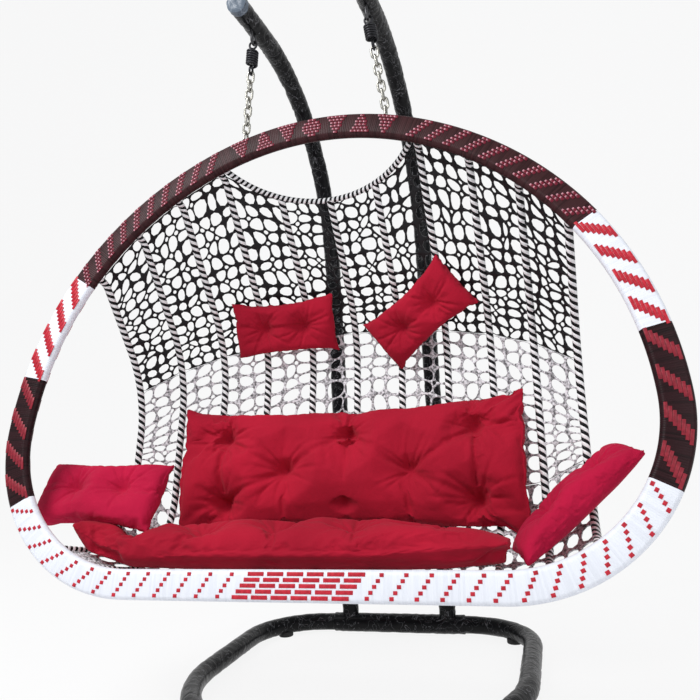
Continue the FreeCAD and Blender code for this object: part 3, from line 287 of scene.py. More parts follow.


# the pale grey is a painted highlight along the black film's creases
black_film = film_finish("black_film", (0.004, 0.004, 0.005), painted_highlight=(0.16, 0.16, 0.17))
ring_steps = [
    ("run", ring_half_width - ring_corner),
    ("turn", ring_corner, -90),
    ("run", ring_length - ring_corner - ring_half_width),
    ("turn", ring_half_width, -180),
    ("run", ring_length - ring_corner - ring_half_width),
    ("turn", ring_corner, -90),
    ("run", ring_half_width - ring_corner),
]
ring_place = frame_at((0, rear_y, ring_height), (1, 0, 0), (0, 1, 0))
ring_form = bent_bar(ring_steps, tube_width, tube_sides, ring_place, closed=True)
crease(ring_form, depth=0.0014, scale=55)
keep(ring_form, "foot_ring", black_film, "stand", ["base_ring"])

sleeve_place = frame_at((-sleeve_length / 2, rear_y, ring_height), (1, 0, 0), (0, 1, 0))
sleeve_form = bent_bar([("run", sleeve_length)], sleeve_width, tube_sides, sleeve_place)
sleeve_ends = [edge for edge in sleeve_form.edges if any(len(face.verts) > 4 for face in edge.link_faces)]
bmesh.ops.bevel(
    sleeve_form, geom=sleeve_ends, offset=0.002, segments=2, profile=0.5, affect="EDGES", material=-1,
)
crease(sleeve_form, depth=0.0014, scale=50)
keep(sleeve_form, "sleeve", black_film, "stand", ["rear_sleeve"])

# Foot pads: four turned rubber discs with rounded edges, fixed under the ring to keep its tube off the
# floor, two at the rear corners and two round the front.
pad_width = 0.044
pad_height = 0.016
rubber, rubber_tree, rubber_shader = new_finish("pad_rubber", (0.02, 0.02, 0.02), roughness=0.75)
rubber_grain = add_noise(rubber_tree, {"Scale": 400.0})
bump_by(rubber_tree, rubber_shader, rubber_grain, strength=0.3, distance=0.0005)
pads_form = bmesh.new()
corner_share = 1 - math.cos(math.radians(45))
nose_reach = ring_half_width * math.cos(math.radians(45))
nose_centre = rear_y - ring_length + ring_half_width
for side in (-1, 1):
    for x, y in (
        (ring_half_width - ring_corner * corner_share, rear_y - ring_corner * corner_share),
        (nose_reach, nose_centre - nose_reach),
    ):
        bmesh.ops.create_cone(
            pads_form, segments=32, radius1=pad_width / 2, radius2=pad_width / 2, depth=pad_height,
            cap_ends=True, matrix=Matrix.Translation((side * x, y, pad_height / 2)),
        )
pad_edges = [edge for edge in pads_form.edges if any(len(face.verts) > 4 for face in edge.link_faces)]
bmesh.ops.bevel(pads_form, geom=pad_edges, offset=0.003, segments=3, profile=0.5, affect="EDGES", material=-1)
keep(pads_form, "foot_pads", rubber, "stand", ["base_feet"])

# Posts: the same tube, standing on the sleeve and bent forward over the seat in one wide curve, tied
# together low down by a thinner tube. Their ends are closed by plugs under a twist of grey-blue film.
eye_y, eye_z = next(joint["pos_m"][1:] for joint in frame["joints"] if joint["name"] == "swing")
post_x = 0.150
post_bend = 0.500
post_foot = ring_height + 0.012
tip_overhang = 0.095
post_tip_y = eye_y - tip_overhang
eye_bend = 0.010
eye_bar = 0.008
eye_drop = 0.044
eye_weld = 0.020
spring_wire = 0.0055
hang_gap = 0.0004
post_top = eye_z + eye_bend - eye_bar / 2 - spring_wire / 2 - hang_gap + eye_drop
tie_width = 0.025
tie_height = 0.150
cap_overlap = 0.016
cap_length = 0.019
cap_width = tube_width + 0.002
# the pale blue-grey is a painted highlight along the cap film's creases
cap_film = film_finish("cap_film", (0.13, 0.16, 0.20), painted_highlight=(0.45, 0.50, 0.56))
both_sides = (("left", -1), ("right", 1))
for side_name, side in both_sides:
    post_place = frame_at((side * post_x, rear_y, post_foot), (0, 0, 1), (0, -1, 0))
    post_steps = [
        ("run", post_top - post_bend - post_foot),
        ("turn", post_bend, 90),
        ("run", rear_y - post_bend - post_tip_y),
    ]
    post_form = bent_bar(post_steps, tube_width, tube_sides, post_place, grain=0.008)
    crease(post_form, depth=0.0022, scale=60)
    keep(post_form, f"{side_name}_post_tube", black_film, "stand", [f"{side_name}_post"])
    cap_place = frame_at((side * post_x, post_tip_y + cap_overlap, post_top), (0, -1, 0), (0, 0, 1))
    cap_form = bent_bar([("run", cap_length)], cap_width, tube_sides, cap_place, grain=0.003)
    cap_ends = [face for face in cap_form.faces if len(face.verts) > 4]
    cap_front = [face for face in cap_ends if face.calc_center_median().y < post_tip_y]
    for inset, lift in ((0.004, 0.0014), (0.006, 0.0008), (0.007, -0.001)):
        bmesh.ops.inset_region(cap_form, faces=cap_front, thickness=inset, depth=lift)
    crease(cap_form, depth=0.0018, scale=90)
    keep(cap_form, f"{side_name}_cap_twist", cap_film, "stand", [f"{side_name}_post_cap"])
tie_place = frame_at((-post_x, rear_y, tie_height), (1, 0, 0), (0, 1, 0))
tie_form = bent_bar([("run", 2 * post_x)], tie_width, sides=24, place=tie_place)
crease(tie_form, depth=0.001, scale=70)
keep(tie_form, "tie_tube", black_film, "stand", ["post_tie"])

# Eyes: round steel bars bent to a U and welded under the post tips, bare and darkened by handling. The
# upper loop of a spring hangs in each bend.
def metal_finish(name, colour, roughness, scale):
    """Bare or zinc-dipped metal with a mottled tone and a fine bump from the same mottle."""
    finish, tree, shader = new_finish(name, colour, roughness)
    shader.inputs["Metallic"].default_value = 1.0
    mottle = add_noise(tree, {"Scale": scale, "Detail": 5.0})
    dull = [part * 0.55 for part in colour]
    bright = [min(1.0, part * 1.25) for part in colour]
    tint_by(tree, shader, mottle, (0.3, dull), (0.7, bright))
    bump_by(tree, shader, mottle, strength=0.25, distance=0.0004)
    return finish


dark_steel = metal_finish("dark_steel", (0.10, 0.10, 0.105), roughness=0.45, scale=150)
eye_leg = eye_drop - eye_weld
eye_steps = [("run", eye_leg), ("turn", eye_bend, 180), ("run", eye_leg)]
for side_name, side in both_sides:
    eye_place = frame_at((side * post_x, eye_y - eye_bend, post_top - eye_weld), (0, 0, -1), (0, 1, 0))
    eye_form = bent_bar(eye_steps, eye_bar, sides=16, place=eye_place, grain=0.0025)
    keep(eye_form, f"{side_name}_eye_bar", dark_steel, "stand", [f"{side_name}_eye"])

# Springs: close-wound wire in charcoal paint, a loop at each end. They stretch as the seat goes down,
# but here each is one fixed mesh in its resting shape and rides on no body.
spring_turns = 7
spring_mean = 0.026
coil_gap = 0.0007
spring_pitch = spring_wire + coil_gap
wire_sides = 10
loop_bend = 0.0095
loop_turn = 350
loop_rise = 0.012
spring_length = spring_turns * spring_pitch + 2 * (loop_bend + loop_rise)
lug_z = next(joint["pos_m"][2] for joint in frame["joints"] if joint["name"] == "basket_tilt")
lug_x = 0.180
hang_length = math.hypot(lug_x - post_x, eye_z - lug_z)
charcoal = metal_finish("charcoal_wire", (0.05, 0.05, 0.055), roughness=0.5, scale=120)


def hang_at(side):
    """The place of one side's spring and chain: its origin at the eye, Z up along the line to the lug."""
    lean_out = math.asin((lug_x - post_x) / hang_length)
    return Matrix.Translation((side * post_x, eye_y, eye_z)) @ Matrix.Rotation(-side * lean_out, 4, "Y")


def join(form, extra):
    """Moves all of one form into another."""
    mesh = bpy.data.meshes.new("extra")
    extra.to_mesh(mesh)
    extra.free()
    form.from_mesh(mesh)
    bpy.data.meshes.remove(mesh)


coil_top = -(loop_bend + loop_rise) - spring_wire / 2
coil_steps = [("coil", spring_mean / 2, 360 * (spring_turns - 1), spring_pitch)]
bar_start = -0.002
bar_inset = 0.0025
for side_name, side in both_sides:
    hang = hang_at(side)
    coil_place = hang @ frame_at((0, spring_mean / 2, coil_top), (-1, 0, 0), (0, -1, 0))
    spring_form = bent_bar(coil_steps, spring_wire, wire_sides, coil_place, grain=0.0035)
    for loop_z, bar_z, heading, left in (
        (-2 * loop_bend, -2 * loop_bend - bar_inset, (1, 0, 0), (0, 0, 1)),
        (2 * loop_bend - spring_length, 2 * loop_bend - spring_length + bar_inset, (0, -1, 0), (0, 0, -1)),
    ):
        loop_place = hang @ frame_at((0, 0, loop_z), heading, left)
        bar_place = hang @ frame_at((0, bar_start, bar_z), (0, 1, 0), (0, 0, 1))
        for end_step, end_place in (
            (("turn", loop_bend, loop_turn), loop_place),
            (("run", spring_mean / 2), bar_place),
        ):
            join(spring_form, bent_bar([end_step], spring_wire, wire_sides, end_place, grain=0.003))
    spring = new_object(spring_form, f"{side_name}_spring_wire", charcoal)
    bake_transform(spring)
    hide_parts(f"{side_name}_spring")

# Chains: seven links a side, bent from zinc-dipped wire and welded shut, each a quarter turn from the next.
# The first hangs in the spring's lower loop and the last holds the lug on the hoop.
link_wire = 0.006
link_inside = 0.0225
link_width = 0.010
link_count = 7
link_bend = (link_width + link_wire) / 2
link_straight = link_inside - link_width
zinc = metal_finish("zinc_dip", (0.46, 0.45, 0.41), roughness=0.35, scale=220)
link_steps = [("run", link_straight), ("turn", link_bend, 180)] * 2
chain_start = spring_length - (spring_wire + link_wire) / 2 - hang_gap
for side_name, side in both_sides:
    chain_form = bmesh.new()
    for count in range(link_count):
        drop = Matrix.Translation((0, 0, -(chain_start + count * (link_inside - hang_gap))))
        turn = Matrix.Rotation(math.radians(90 * (count % 2)), 4, "Z")
        link_place = frame_at((-link_bend, 0, -link_bend), (0, 0, -1), (1, 0, 0))
        place = hang_at(side) @ drop @ turn @ link_place
        join(chain_form, bent_bar(link_steps, link_wire, sides=12, place=place, grain=0.002, closed=True))
    keep(chain_form, f"{side_name}_links", zinc, "chains", [f"{side_name}_chain"])

# Hoop wrap: two steel bars side by side, wound crosswise with flat plastic cane into one band, with
# lengths of white, dark brown and brown cane that butt against each other.
hoop_lean = math.radians(13.0)
hoop_setback = 0.830
hoop_height = 0.295
hoop_foot = Vector((0, rear_y - hoop_setback, hoop_height))
hoop = Matrix.Translation(hoop_foot) @ Matrix.Rotation(-hoop_lean, 4, "X")
band_width = 0.062
band_thick = 0.024
half_flat = 0.393
corner_outside, corner_turn = 0.357, 93.5
flank_outside, flank_turn = 0.786, 65.7
flank_start = math.radians(corner_turn - 90)
crown_start = flank_start + math.radians(flank_turn)
to_flank = Vector((math.cos(flank_start), 0, math.sin(flank_start)))
to_crown = Vector((math.cos(crown_start), 0, math.sin(crown_start)))
corner_centre = Vector((half_flat, 0, corner_outside))
flank_centre = corner_centre + to_flank * (corner_outside - flank_outside)
crown_outside = flank_outside + flank_centre.x / math.cos(crown_start)
crown_centre = flank_centre + to_crown * (flank_outside - crown_outside)
middle_inset = band_width / 2
half_steps = [
    ("run", half_flat),
    ("turn", corner_outside - middle_inset, corner_turn),
    ("turn", flank_outside - middle_inset, flank_turn),
    ("turn", crown_outside - middle_inset, 90 - math.degrees(crown_start)),
]
half_length = sum(step_length(step) for step in half_steps)


def steps_between(first, last):
    """The part of the right half of the hoop between two lengths along its middle line."""
    cut = []
    begun = 0.0
    for step in half_steps:
        length = step_length(step)
        low, high = max(first - begun, 0.0), min(last - begun, length)
        if high - low > 1e-6:
            share = (high - low) / length
            cut.append((*step[:-1], step[-1] * share))
        begun += length
    return cut


def hoop_place(along):
    """The frame on the hoop's middle line at a length from the middle of its lower side, towards the sitter's
    left hand side and all the way round: X along the band, Y through it, Z to the inside."""
    reach = along % (2 * half_length)
    mirrored = reach > half_length
    here = Matrix.Translation((0, 0, middle_inset))
    for step in steps_between(0.0, 2 * half_length - reach if mirrored else reach):
        here = here @ step_move(step, 1.0)
    if mirrored:
        heading = here.col[0].xyz
        spot = here.translation
        here = frame_at((-spot.x, 0, spot.z), (heading.x, 0, -heading.z), (heading.z, 0, heading.x))
    return hoop @ here


cane_width = 0.0045


def wind_parts(tree):
    """A point's place round its bar, X and Y, and along it, Z."""
    wind = tree.nodes.new("ShaderNodeAttribute")
    wind.attribute_name = "wind"
    return add_node(tree, "SeparateXYZ", {"Vector": wind.outputs["Vector"]}).outputs


def cane_finish(name, colour, shade, gloss):
    """Flat cane wound crosswise: a fine ridge for each strand and a slightly different tone in each."""
    finish, tree, shader = new_finish(name, colour, roughness=0.42, gloss=gloss)
    count = add_maths(tree, "MULTIPLY", wind_parts(tree)["Z"], 1 / cane_width)
    tone = tree.nodes.new("ShaderNodeTexWhiteNoise")
    tone.noise_dimensions = "1D"
    tree.links.new(add_maths(tree, "FLOOR", count), tone.inputs["W"])
    tint_by(tree, shader, tone.outputs["Value"], (0.0, shade), (0.5, colour))
    ridge = add_maths(tree, "PINGPONG", add_maths(tree, "FRACT", count), 0.5)
    bump_by(tree, shader, add_maths(tree, "POWER", ridge, 0.35), strength=0.5, distance=0.0010)
    return finish


white_cane = cane_finish("white_cane", (0.83, 0.86, 0.93), shade=(0.77, 0.80, 0.87), gloss=0.4)
dark_cane = cane_finish("dark_cane", (0.024, 0.007, 0.009), shade=(0.012, 0.004, 0.005), gloss=0.14)
brown_cane = cane_finish("brown_cane", (0.044, 0.015, 0.017), shade=(0.024, 0.008, 0.009), gloss=0.12)
white_turn = 62.4
side_turn = 9.6
shoulder_turn = 29.7
corner_length = step_length(half_steps[1])
white_end = half_flat + (corner_outside - middle_inset) * math.radians(white_turn)
side_end = half_flat + corner_length + (flank_outside - middle_inset) * math.radians(side_turn)
shoulder_end = half_flat + corner_length + (flank_outside - middle_inset) * math.radians(shoulder_turn)
for wrap_name, first, last, finish, slot, sides in (
    ("wrap_lower", 0.0, white_end, white_cane, "wrap_white", "both"),
    ("wrap_side", white_end, side_end, dark_cane, "wrap_dark", "each"),
    ("wrap_shoulder", side_end, shoulder_end, white_cane, "wrap_white", "each"),
    ("wrap_upper", shoulder_end, half_length, brown_cane, "wrap_brown", "both"),
):
    for side_name, side in (("both", 1),) if sides == "both" else both_sides:
        wrap_steps = steps_between(first, last)
        wrap_flat = band_width - band_thick
        wrap_form = bent_bar(wrap_steps, band_thick, tube_sides, Matrix(), flat=wrap_flat, grain=0.009)
        start = Matrix.Translation((0, 0, middle_inset))
        for step in steps_between(0.0, first):
            start = start @ step_move(step, 1.0)
        bmesh.ops.transform(wrap_form, matrix=start, verts=wrap_form.verts)
        if sides == "both":
            ends = [face for face in wrap_form.faces if len(face.verts) > 4]
            seam = [face for face in ends if abs(face.calc_center_median().x) < 1e-4]
            bmesh.ops.delete(wrap_form, geom=seam, context="FACES_ONLY")
            whole = list(wrap_form.verts) + list(wrap_form.edges) + list(wrap_form.faces)
            bmesh.ops.mirror(wrap_form, geom=whole, merge_dist=1e-4, axis="X")
        elif side < 0:
            bmesh.ops.scale(wrap_form, vec=(-1, 1, 1), verts=wrap_form.verts)
        bmesh.ops.transform(wrap_form, matrix=hoop, verts=wrap_form.verts)
        bmesh.ops.recalc_face_normals(wrap_form, faces=wrap_form.faces)
        label = wrap_name if sides == "both" else f"{side_name}_{wrap_name}"
        keep(wrap_form, f"{label}_cane", finish, "basket", [label])

# Woven dashes: short lengths of red and pink cane pushed under the wrap's strands, in slanting runs along
# the white lengths, stepped slashes up the sides, and dotted slants, triangles and a diamond over the top.
dash_rise = 0.0007


def lay_dash(form, along, across, length, width):
    """One strand shown on the front and the back of the band. across counts from the band's outer edge."""
    for face_side in (-1, 1):
        spot = Matrix.Translation((0, face_side * (band_thick / 2), across - band_width / 2))
        shape = Matrix.Diagonal((length, 2 * dash_rise, width, 1))
        bmesh.ops.create_cube(form, size=1.0, matrix=hoop_place(along) @ spot @ shape)


def strand_finish(name, colour, shade=0.7):
    """One flat cane strand, with a low sheen and some unevenness in its colour; with a low shade the dark
    patches are near black and are painted shade.
    """
    finish, tree, shader = new_finish(name, colour, roughness=0.4, gloss=0.2)
    shaded = [part * shade for part in colour]
    # noise mixes the colour with a darker copy: uneven colour, and painted shade where shade is low
    tint_by(tree, shader, add_noise(tree, {"Scale": 160.0}), (0.35, shaded), (0.65, colour))
    return finish


red_strand = strand_finish("red_strand", (0.58, 0.026, 0.046))
dark_red_strand = strand_finish("dark_red_strand", (0.30, 0.024, 0.040))
wine_strand = strand_finish("wine_strand", (0.17, 0.010, 0.026))
pink_strand = strand_finish("pink_strand", (0.66, 0.30, 0.36))


def keep_dashes(form, name, finish):
    """Takes the sharp edges off laid strands and keeps them on the basket."""
    bmesh.ops.bevel(
        form, geom=list(form.edges), offset=0.0003, segments=1, profile=0.5, affect="EDGES", material=-1,
    )
    keep(form, name, finish, "basket")


run_pitch = 0.0475
run_first = 0.026
run_stop = 0.012
run_slant = 0.0072
run_step = 0.0106
block_half = 0.128
block_first = 0.024
block_pitch = 0.0415
block_slant = 0.0080
block_step = 0.0110
runs_form = bmesh.new()
for side in (-1, 1):
    run_at = block_half + run_first
    while run_at < white_end - run_stop:
        for count in range(5):
            shift = count - 2
            along = side * run_at + run_slant * shift
            lay_dash(runs_form, along, middle_inset + run_step * shift, length=0.0082, width=0.0072)
        run_at += run_pitch
keep_dashes(runs_form, "lower_runs", red_strand)
block_form = bmesh.new()
for row in range(5):
    shift = row - 2
    for count in range(6):
        along = -block_half + block_first + block_pitch * count + block_slant * shift
        lay_dash(block_form, along, middle_inset + block_step * shift, length=0.034, width=0.0078)
keep_dashes(block_form, "lower_block", red_strand)

slash_count = 4
slash_slant = 0.0078
slash_step = 0.0072
for slash_name, first, last, finish in (
    ("side_slashes", white_end, side_end, dark_red_strand),
    ("shoulder_slashes", side_end, shoulder_end, red_strand),
):
    slash_form = bmesh.new()
    pitch = (last - first) / slash_count
    for side in (-1, 1):
        for count in range(slash_count):
            middle = side * (first + pitch * (count + 0.5))
            for strand in range(7):
                shift = strand - 3
                across = middle_inset + slash_step * shift
                lay_dash(slash_form, middle + slash_slant * shift, across, length=0.029, width=0.0068)
    keep_dashes(slash_form, slash_name, finish)

red_form = bmesh.new()
dot_form = bmesh.new()
slant_first = 0.020
slant_pitch = 0.047
slant_stop = 0.225
motif_pitch = 0.062
dot_pitch = 0.0094
row_pitch = 0.0084
row_slant = 0.0062
strand_shift = -0.0010
dot_shift = 0.0042
top_motifs = []
motif_at = shoulder_end + slant_first
while motif_at < half_length - slant_stop:
    top_motifs += [(motif_at, "slant"), (-motif_at, "slant")]
    motif_at += slant_pitch
for place, kind in zip(range(-3, 4), ("wide", "narrow", "wide", "diamond", "wide", "narrow", "wide")):
    top_motifs.append((half_length + place * motif_pitch, kind))
for motif_along, kind in top_motifs:
    for row in range(6):
        depth = row - 2.5
        columns = {
            "slant": 2,
            "diamond": 6 - round(abs(depth) * 1.6),
            "wide": 1 + round((5 - row) * 0.8),
            "narrow": 1 + round(row * 0.8),
        }[kind]
        for column in range(columns):
            shift = (column - (columns - 1) / 2) * dot_pitch + (row_slant * depth if kind == "slant" else 0.0)
            across = middle_inset + row_pitch * depth
            along = motif_along + shift
            lay_dash(red_form, along + strand_shift, across, length=0.0068, width=0.0068)
            lay_dash(dot_form, along + dot_shift, across, length=0.0036, width=0.0044)
keep_dashes(red_form, "top_strands", wine_strand)
keep_dashes(dot_form, "top_dots", pink_strand)

# Hidden hoop bars and blocks: two bent steel bars with square blocks welded between them. The wrap closes
# them in, so the CAD nodes stay and only get their bare metal.
bare_steel = metal_finish("bare_steel", (0.30, 0.30, 0.31), roughness=0.5, scale=90)
for hidden in ("hoop_outer_rod", "hoop_inner_rod", "hoop_spacers"):
    frame["nodes"][hidden].data.materials.clear()
    frame["nodes"][hidden].data.materials.append(bare_steel)

# Lugs: zinc-dipped bars bent to a U and welded on top of the hoop, with the wrap round their feet. The
# last chain links hold the seat by them.
lug_bar = 0.006
lug_bend = 0.009
lug_rise = 0.015
lug_sink = 0.004


def hoop_top(x, inset):
    """Height of the hoop's upper side at x in its own plane, inset from its outer edge."""
    x = abs(x)
    if x <= crown_centre.x + (crown_outside - inset) * math.cos(crown_start):
        return crown_centre.z + math.sqrt((crown_outside - inset) ** 2 - (x - crown_centre.x) ** 2)
    return flank_centre.z + math.sqrt((flank_outside - inset) ** 2 - (x - flank_centre.x) ** 2)


def hoop_bottom(x, inset):
    """Height of the hoop's lower side at x in its own plane, inset from its outer edge."""
    x = abs(x)
    if x <= half_flat:
        return inset
    return corner_centre.z - math.sqrt((corner_outside - inset) ** 2 - (x - half_flat) ** 2)


lug_leg = lug_rise + lug_sink
lug_steps = [("run", lug_leg), ("turn", lug_bend, 180), ("run", lug_leg)]
for side_name, side in both_sides:
    lug_foot = (side * lug_x, lug_bend, hoop_top(lug_x, 0) - lug_sink)
    lug_place = hoop @ frame_at(lug_foot, (0, 0, 1), (0, -1, 0))
    lug_form = bent_bar(lug_steps, lug_bar, sides=14, place=lug_place, grain=0.002)
    keep(lug_form, f"{side_name}_lug_bar", zinc, "basket", [f"{side_name}_lug"])

# Ribs: steel bars from the hoop's upper side down the sloping back and under the seat to its lower side,
# bound tightly with black and white strands of cane side by side, which give the spiral stripe.
rib_width = 0.018
rib_places = (0.0, 0.125, 0.250, 0.365, 0.470, 0.565)
rib_root = 0.010
rib_sink = 0.004
cord_sides = 16
root_bend = 0.040
slope = math.radians(45)
back_bend = 0.300
seat_bend = 0.200
bowl_depth, bowl_edge = 0.400, 0.265
bowl_drop = bowl_depth - bowl_edge
plan_radius = (rib_places[-1] ** 2 + bowl_drop**2) / (2 * bowl_drop)
rod_line = band_width - band_thick / 2
face_y = band_thick / 2


def rib_stations(x):
    """Where a rib's runs and bends meet at x in the hoop's frame: depths, heights and (y, z) pairs."""
    depth = bowl_depth - plan_radius + math.sqrt(plan_radius**2 - x**2)
    top, bottom = hoop_top(x, rod_line), hoop_bottom(x, rod_line)
    start = (face_y + rib_root + root_bend * math.sin(slope), top - root_bend * (1 - math.cos(slope)))
    bend_y = depth - back_bend * (1 - math.sin(slope))
    bend = (bend_y, start[1] - (bend_y - start[0]) * math.tan(slope))
    return {
        "depth": depth, "top": top, "bottom": bottom, "slope_start": start, "slope_end": bend,
        "bend_end": (depth, bend[1] - back_bend * math.cos(slope)),
    }


neck_half = 0.235
neck_dip = 0.133
neck_slope = math.radians(22.6)
neck_width = 0.014
neck_radius = (neck_half**2 + neck_dip**2) / (2 * neck_dip)
neck_top = hoop_top(neck_half, rod_line)


def neck_y(x):
    """How far back the neckline runs at x, in the hoop's frame."""
    return face_y + (math.sqrt(neck_radius**2 - x**2) - neck_radius + neck_dip) * math.cos(neck_slope)


def stripe_finish(name, pitch, strands):
    """Strands wound side by side: crowned bands of black and white that climb round the bar."""
    finish, tree, shader = new_finish(name, (0.8, 0.8, 0.8), roughness=0.4, gloss=0.15)
    place = wind_parts(tree)
    round_bar = add_maths(tree, "MULTIPLY", add_maths(tree, "ARCTAN2", place["Y"], place["X"]), strands)
    phase = add_maths(tree, "MULTIPLY_ADD", place["Z"], 2 * math.pi / pitch, round_bar)
    wave = add_maths(tree, "SINE", phase)
    level = add_maths(tree, "MULTIPLY_ADD", wave, 0.5, 0.5)
    tint_by(tree, shader, level, (0.49, (0.006, 0.006, 0.007)), (0.51, (0.95, 0.95, 0.96)))
    bump_by(tree, shader, add_maths(tree, "ABSOLUTE", wave), strength=0.6, distance=0.002)
    return finish


rib_stripe = stripe_finish("rib_stripe", pitch=0.018, strands=2)
slope_down = (0, math.cos(slope), -math.sin(slope))
slope_out = (0, math.sin(slope), math.cos(slope))
for count, reach in enumerate(rib_places):
    for side_name, side in (("middle", 1),) if count == 0 else both_sides:
        x = side * reach
        at = rib_stations(x)
        lower_steps = [
            ("turn", back_bend, -45),
            ("run", at["bend_end"][1] - at["bottom"] - seat_bend),
            ("turn", seat_bend, -90),
            ("run", at["depth"] - seat_bend - face_y + rib_sink),
        ]
        if reach < neck_half - rib_width:
            start_y = neck_y(x)
            start_z = at["slope_start"][1] - (start_y - at["slope_start"][0]) * math.tan(slope)
            rib_place = frame_at((x, start_y, start_z), slope_down, slope_out)
            upper_steps = [("run", (at["slope_end"][0] - start_y) / math.cos(slope))]
        else:
            rib_place = frame_at((x, face_y - rib_sink, at["top"]), (0, 1, 0), (0, 0, 1))
            upper_steps = [
                ("run", rib_root + rib_sink),
                ("turn", root_bend, -45),
                ("run", (at["slope_end"][0] - at["slope_start"][0]) / math.cos(slope)),
            ]
        rib_form = bent_bar(upper_steps + lower_steps, rib_width, cord_sides, hoop @ rib_place, grain=0.012)
        number = count if count < len(rib_places) - 1 else "edge"
        label = "rib_middle" if count == 0 else f"{side_name}_rib_{number}"
        keep(rib_form, f"{label}_cord", rib_stripe, "basket", [label])

# Neckline: one more steel bar bound with striped cane, bent in a scallop from the hoop down to the middle
# ribs, which end on it, and up again. It leaves the gap under the hoop's top.
neck_turn = 2 * math.asin(neck_half / neck_radius)
neck_down = Vector((0, math.cos(neck_slope), -math.sin(neck_slope)))
neck_heading = Vector((1, 0, 0)) * math.cos(neck_turn / 2) + neck_down * math.sin(neck_turn / 2)
neck_left = Vector((1, 0, 0)).cross(neck_down).cross(neck_heading)
neck_place = hoop @ frame_at((-neck_half, face_y, neck_top), neck_heading, neck_left)
neck_steps = [("turn", neck_radius, -math.degrees(neck_turn))]
neck_form = bent_bar(neck_steps, neck_width, cord_sides, neck_place, grain=0.008)
neck_stripe = stripe_finish("neck_stripe", pitch=0.0125, strands=1)
keep(neck_form, "neckline_cord", neck_stripe, "basket", ["neckline_bar"])

# Net: cane knotted by hand from rib to rib in rounded gaps of uneven size, black and heavy on the sloping
# back, white and finer round the lower back and under the seat.
random.seed(12)
net_order = [-x for x in rib_places[:0:-1]] + list(rib_places)
root_share = 0.12
net_thick = 0.0045
knot_reach = 0.010
band_clear = 0.004
neck_clear = 0.006
front_clear = 0.012


def bowl_point(x, left_x, right_x, station):
    """A point of the bowl between two ribs. The station counts runs and bends down the back: slope, bend,
    back, seat bend, seat."""
    share = (x - left_x) / (right_x - left_x)
    pair = []
    for rib_x in (left_x, right_x):
        at = rib_stations(rib_x)
        depth, bottom = at["depth"], at["bottom"]
        bend_low = at["bend_end"][1]
        part = min(int(station), 4)
        f = station - part
        if part == 0:
            start = at["slope_start"]
            edge = (face_y + band_clear, at["top"])
            if abs(rib_x) < neck_half - rib_width:
                y = max(start[0], neck_y(rib_x) + neck_clear)
                edge = (y, start[1] - (y - start[0]) * math.tan(slope))
                start = edge
            if f < root_share:
                near, far, f = edge, start, f / root_share
            else:
                near, far, f = start, at["slope_end"], (f - root_share) / (1 - root_share)
            spot = (near[0] + (far[0] - near[0]) * f, near[1] + (far[1] - near[1]) * f)
        elif part == 1:
            turn = (math.pi / 2 - slope) * (1 - f)
            spot = (depth - back_bend + back_bend * math.cos(turn), bend_low + back_bend * math.sin(turn))
        elif part == 2:
            spot = (depth, bend_low + (bottom + seat_bend - bend_low) * f)
        elif part == 3:
            turn = -math.pi / 2 * f
            spot = (depth + seat_bend * (math.cos(turn) - 1), bottom + seat_bend * (math.sin(turn) + 1))
        else:
            front = face_y + front_clear
            spot = (depth - seat_bend + (front - depth + seat_bend) * f, bottom)
        pair.append(spot)
    return Vector((x, *[pair[0][k] * (1 - share) + pair[1][k] * share for k in (0, 1)]))


def net_form(first, last, columns, rows, uneven, strands, knotted):
    """Panels of net between neighbouring ribs from one station to another. Each gap is a grid face set in by
    the width of its strand and opened, and a share of the crossings is opened into a small gap as well."""
    form = bmesh.new()
    for left_x, right_x in zip(net_order, net_order[1:]):
        panel = bmesh.new()
        bmesh.ops.create_grid(panel, x_segments=columns, y_segments=rows, size=0.5)
        for point in panel.verts:
            u, v = point.co.x + 0.5, 0.5 - point.co.y
            inner_u = 0.01 < u < 0.99
            inner_v = 0.01 < v < 0.99
            if inner_u:
                u += random.uniform(-uneven, uneven) / columns
            if inner_v:
                v += random.uniform(-uneven, uneven) / rows
            x = left_x + (right_x - left_x) * u
            point.co = bowl_point(x, left_x, right_x, first + (last - first) * min(max(v, 0), 0.9999))
        inner = [point for point in panel.verts if not point.is_boundary]
        knots = random.sample(inner, int(len(inner) * knotted))
        bmesh.ops.bevel(
            panel, geom=knots, offset=knot_reach, segments=1, profile=0.5, affect="VERTICES", material=-1,
        )
        gaps = list(panel.faces)
        random.shuffle(gaps)
        for group, width in enumerate(strands):
            chosen = gaps[group::len(strands)]
            bmesh.ops.inset_individual(panel, faces=chosen, thickness=width, use_even_offset=False)
        bmesh.ops.delete(panel, geom=gaps, context="FACES_ONLY")
        join(form, panel)
    bmesh.ops.transform(form, matrix=hoop, verts=form.verts)
    return form


black_cane = strand_finish("black_cane", (0.010, 0.009, 0.011))
# the near-black patches on the pale strands are painted shade, for the shadows between the net's strands
pale_cane = strand_finish("pale_cane", (0.86, 0.84, 0.88), shade=0.12)
for net_name, finish, slot, first, last, columns, rows, uneven, strands, knotted, smooth in (
    ("net_upper", black_cane, "net_dark", 0, 1.5, 4, 14, 0.30, (0.0011, 0.0018, 0.0030), 0.42, 1),
    ("net_lower", pale_cane, "net_pale", 1.5, 3, 3, 11, 0.24, (0.0012, 0.0018), 0.22, 2),
    ("net_seat", pale_cane, "net_pale", 3, 5, 3, 12, 0.16, (0.0018, 0.0024), 0.0, 1),
):
    woven = net_form(first, last, columns, rows, uneven, strands, knotted)
    net_piece = keep(woven, f"{net_name}_cane", finish, "basket", [net_name])
    thick = net_piece.modifiers.new("strand", "SOLIDIFY")
    thick.thickness = net_thick
    thick.offset = 0.0
    round_gaps = net_piece.modifiers.new("round", "SUBSURF")
    round_gaps.levels = smooth
    round_gaps.render_levels = smooth

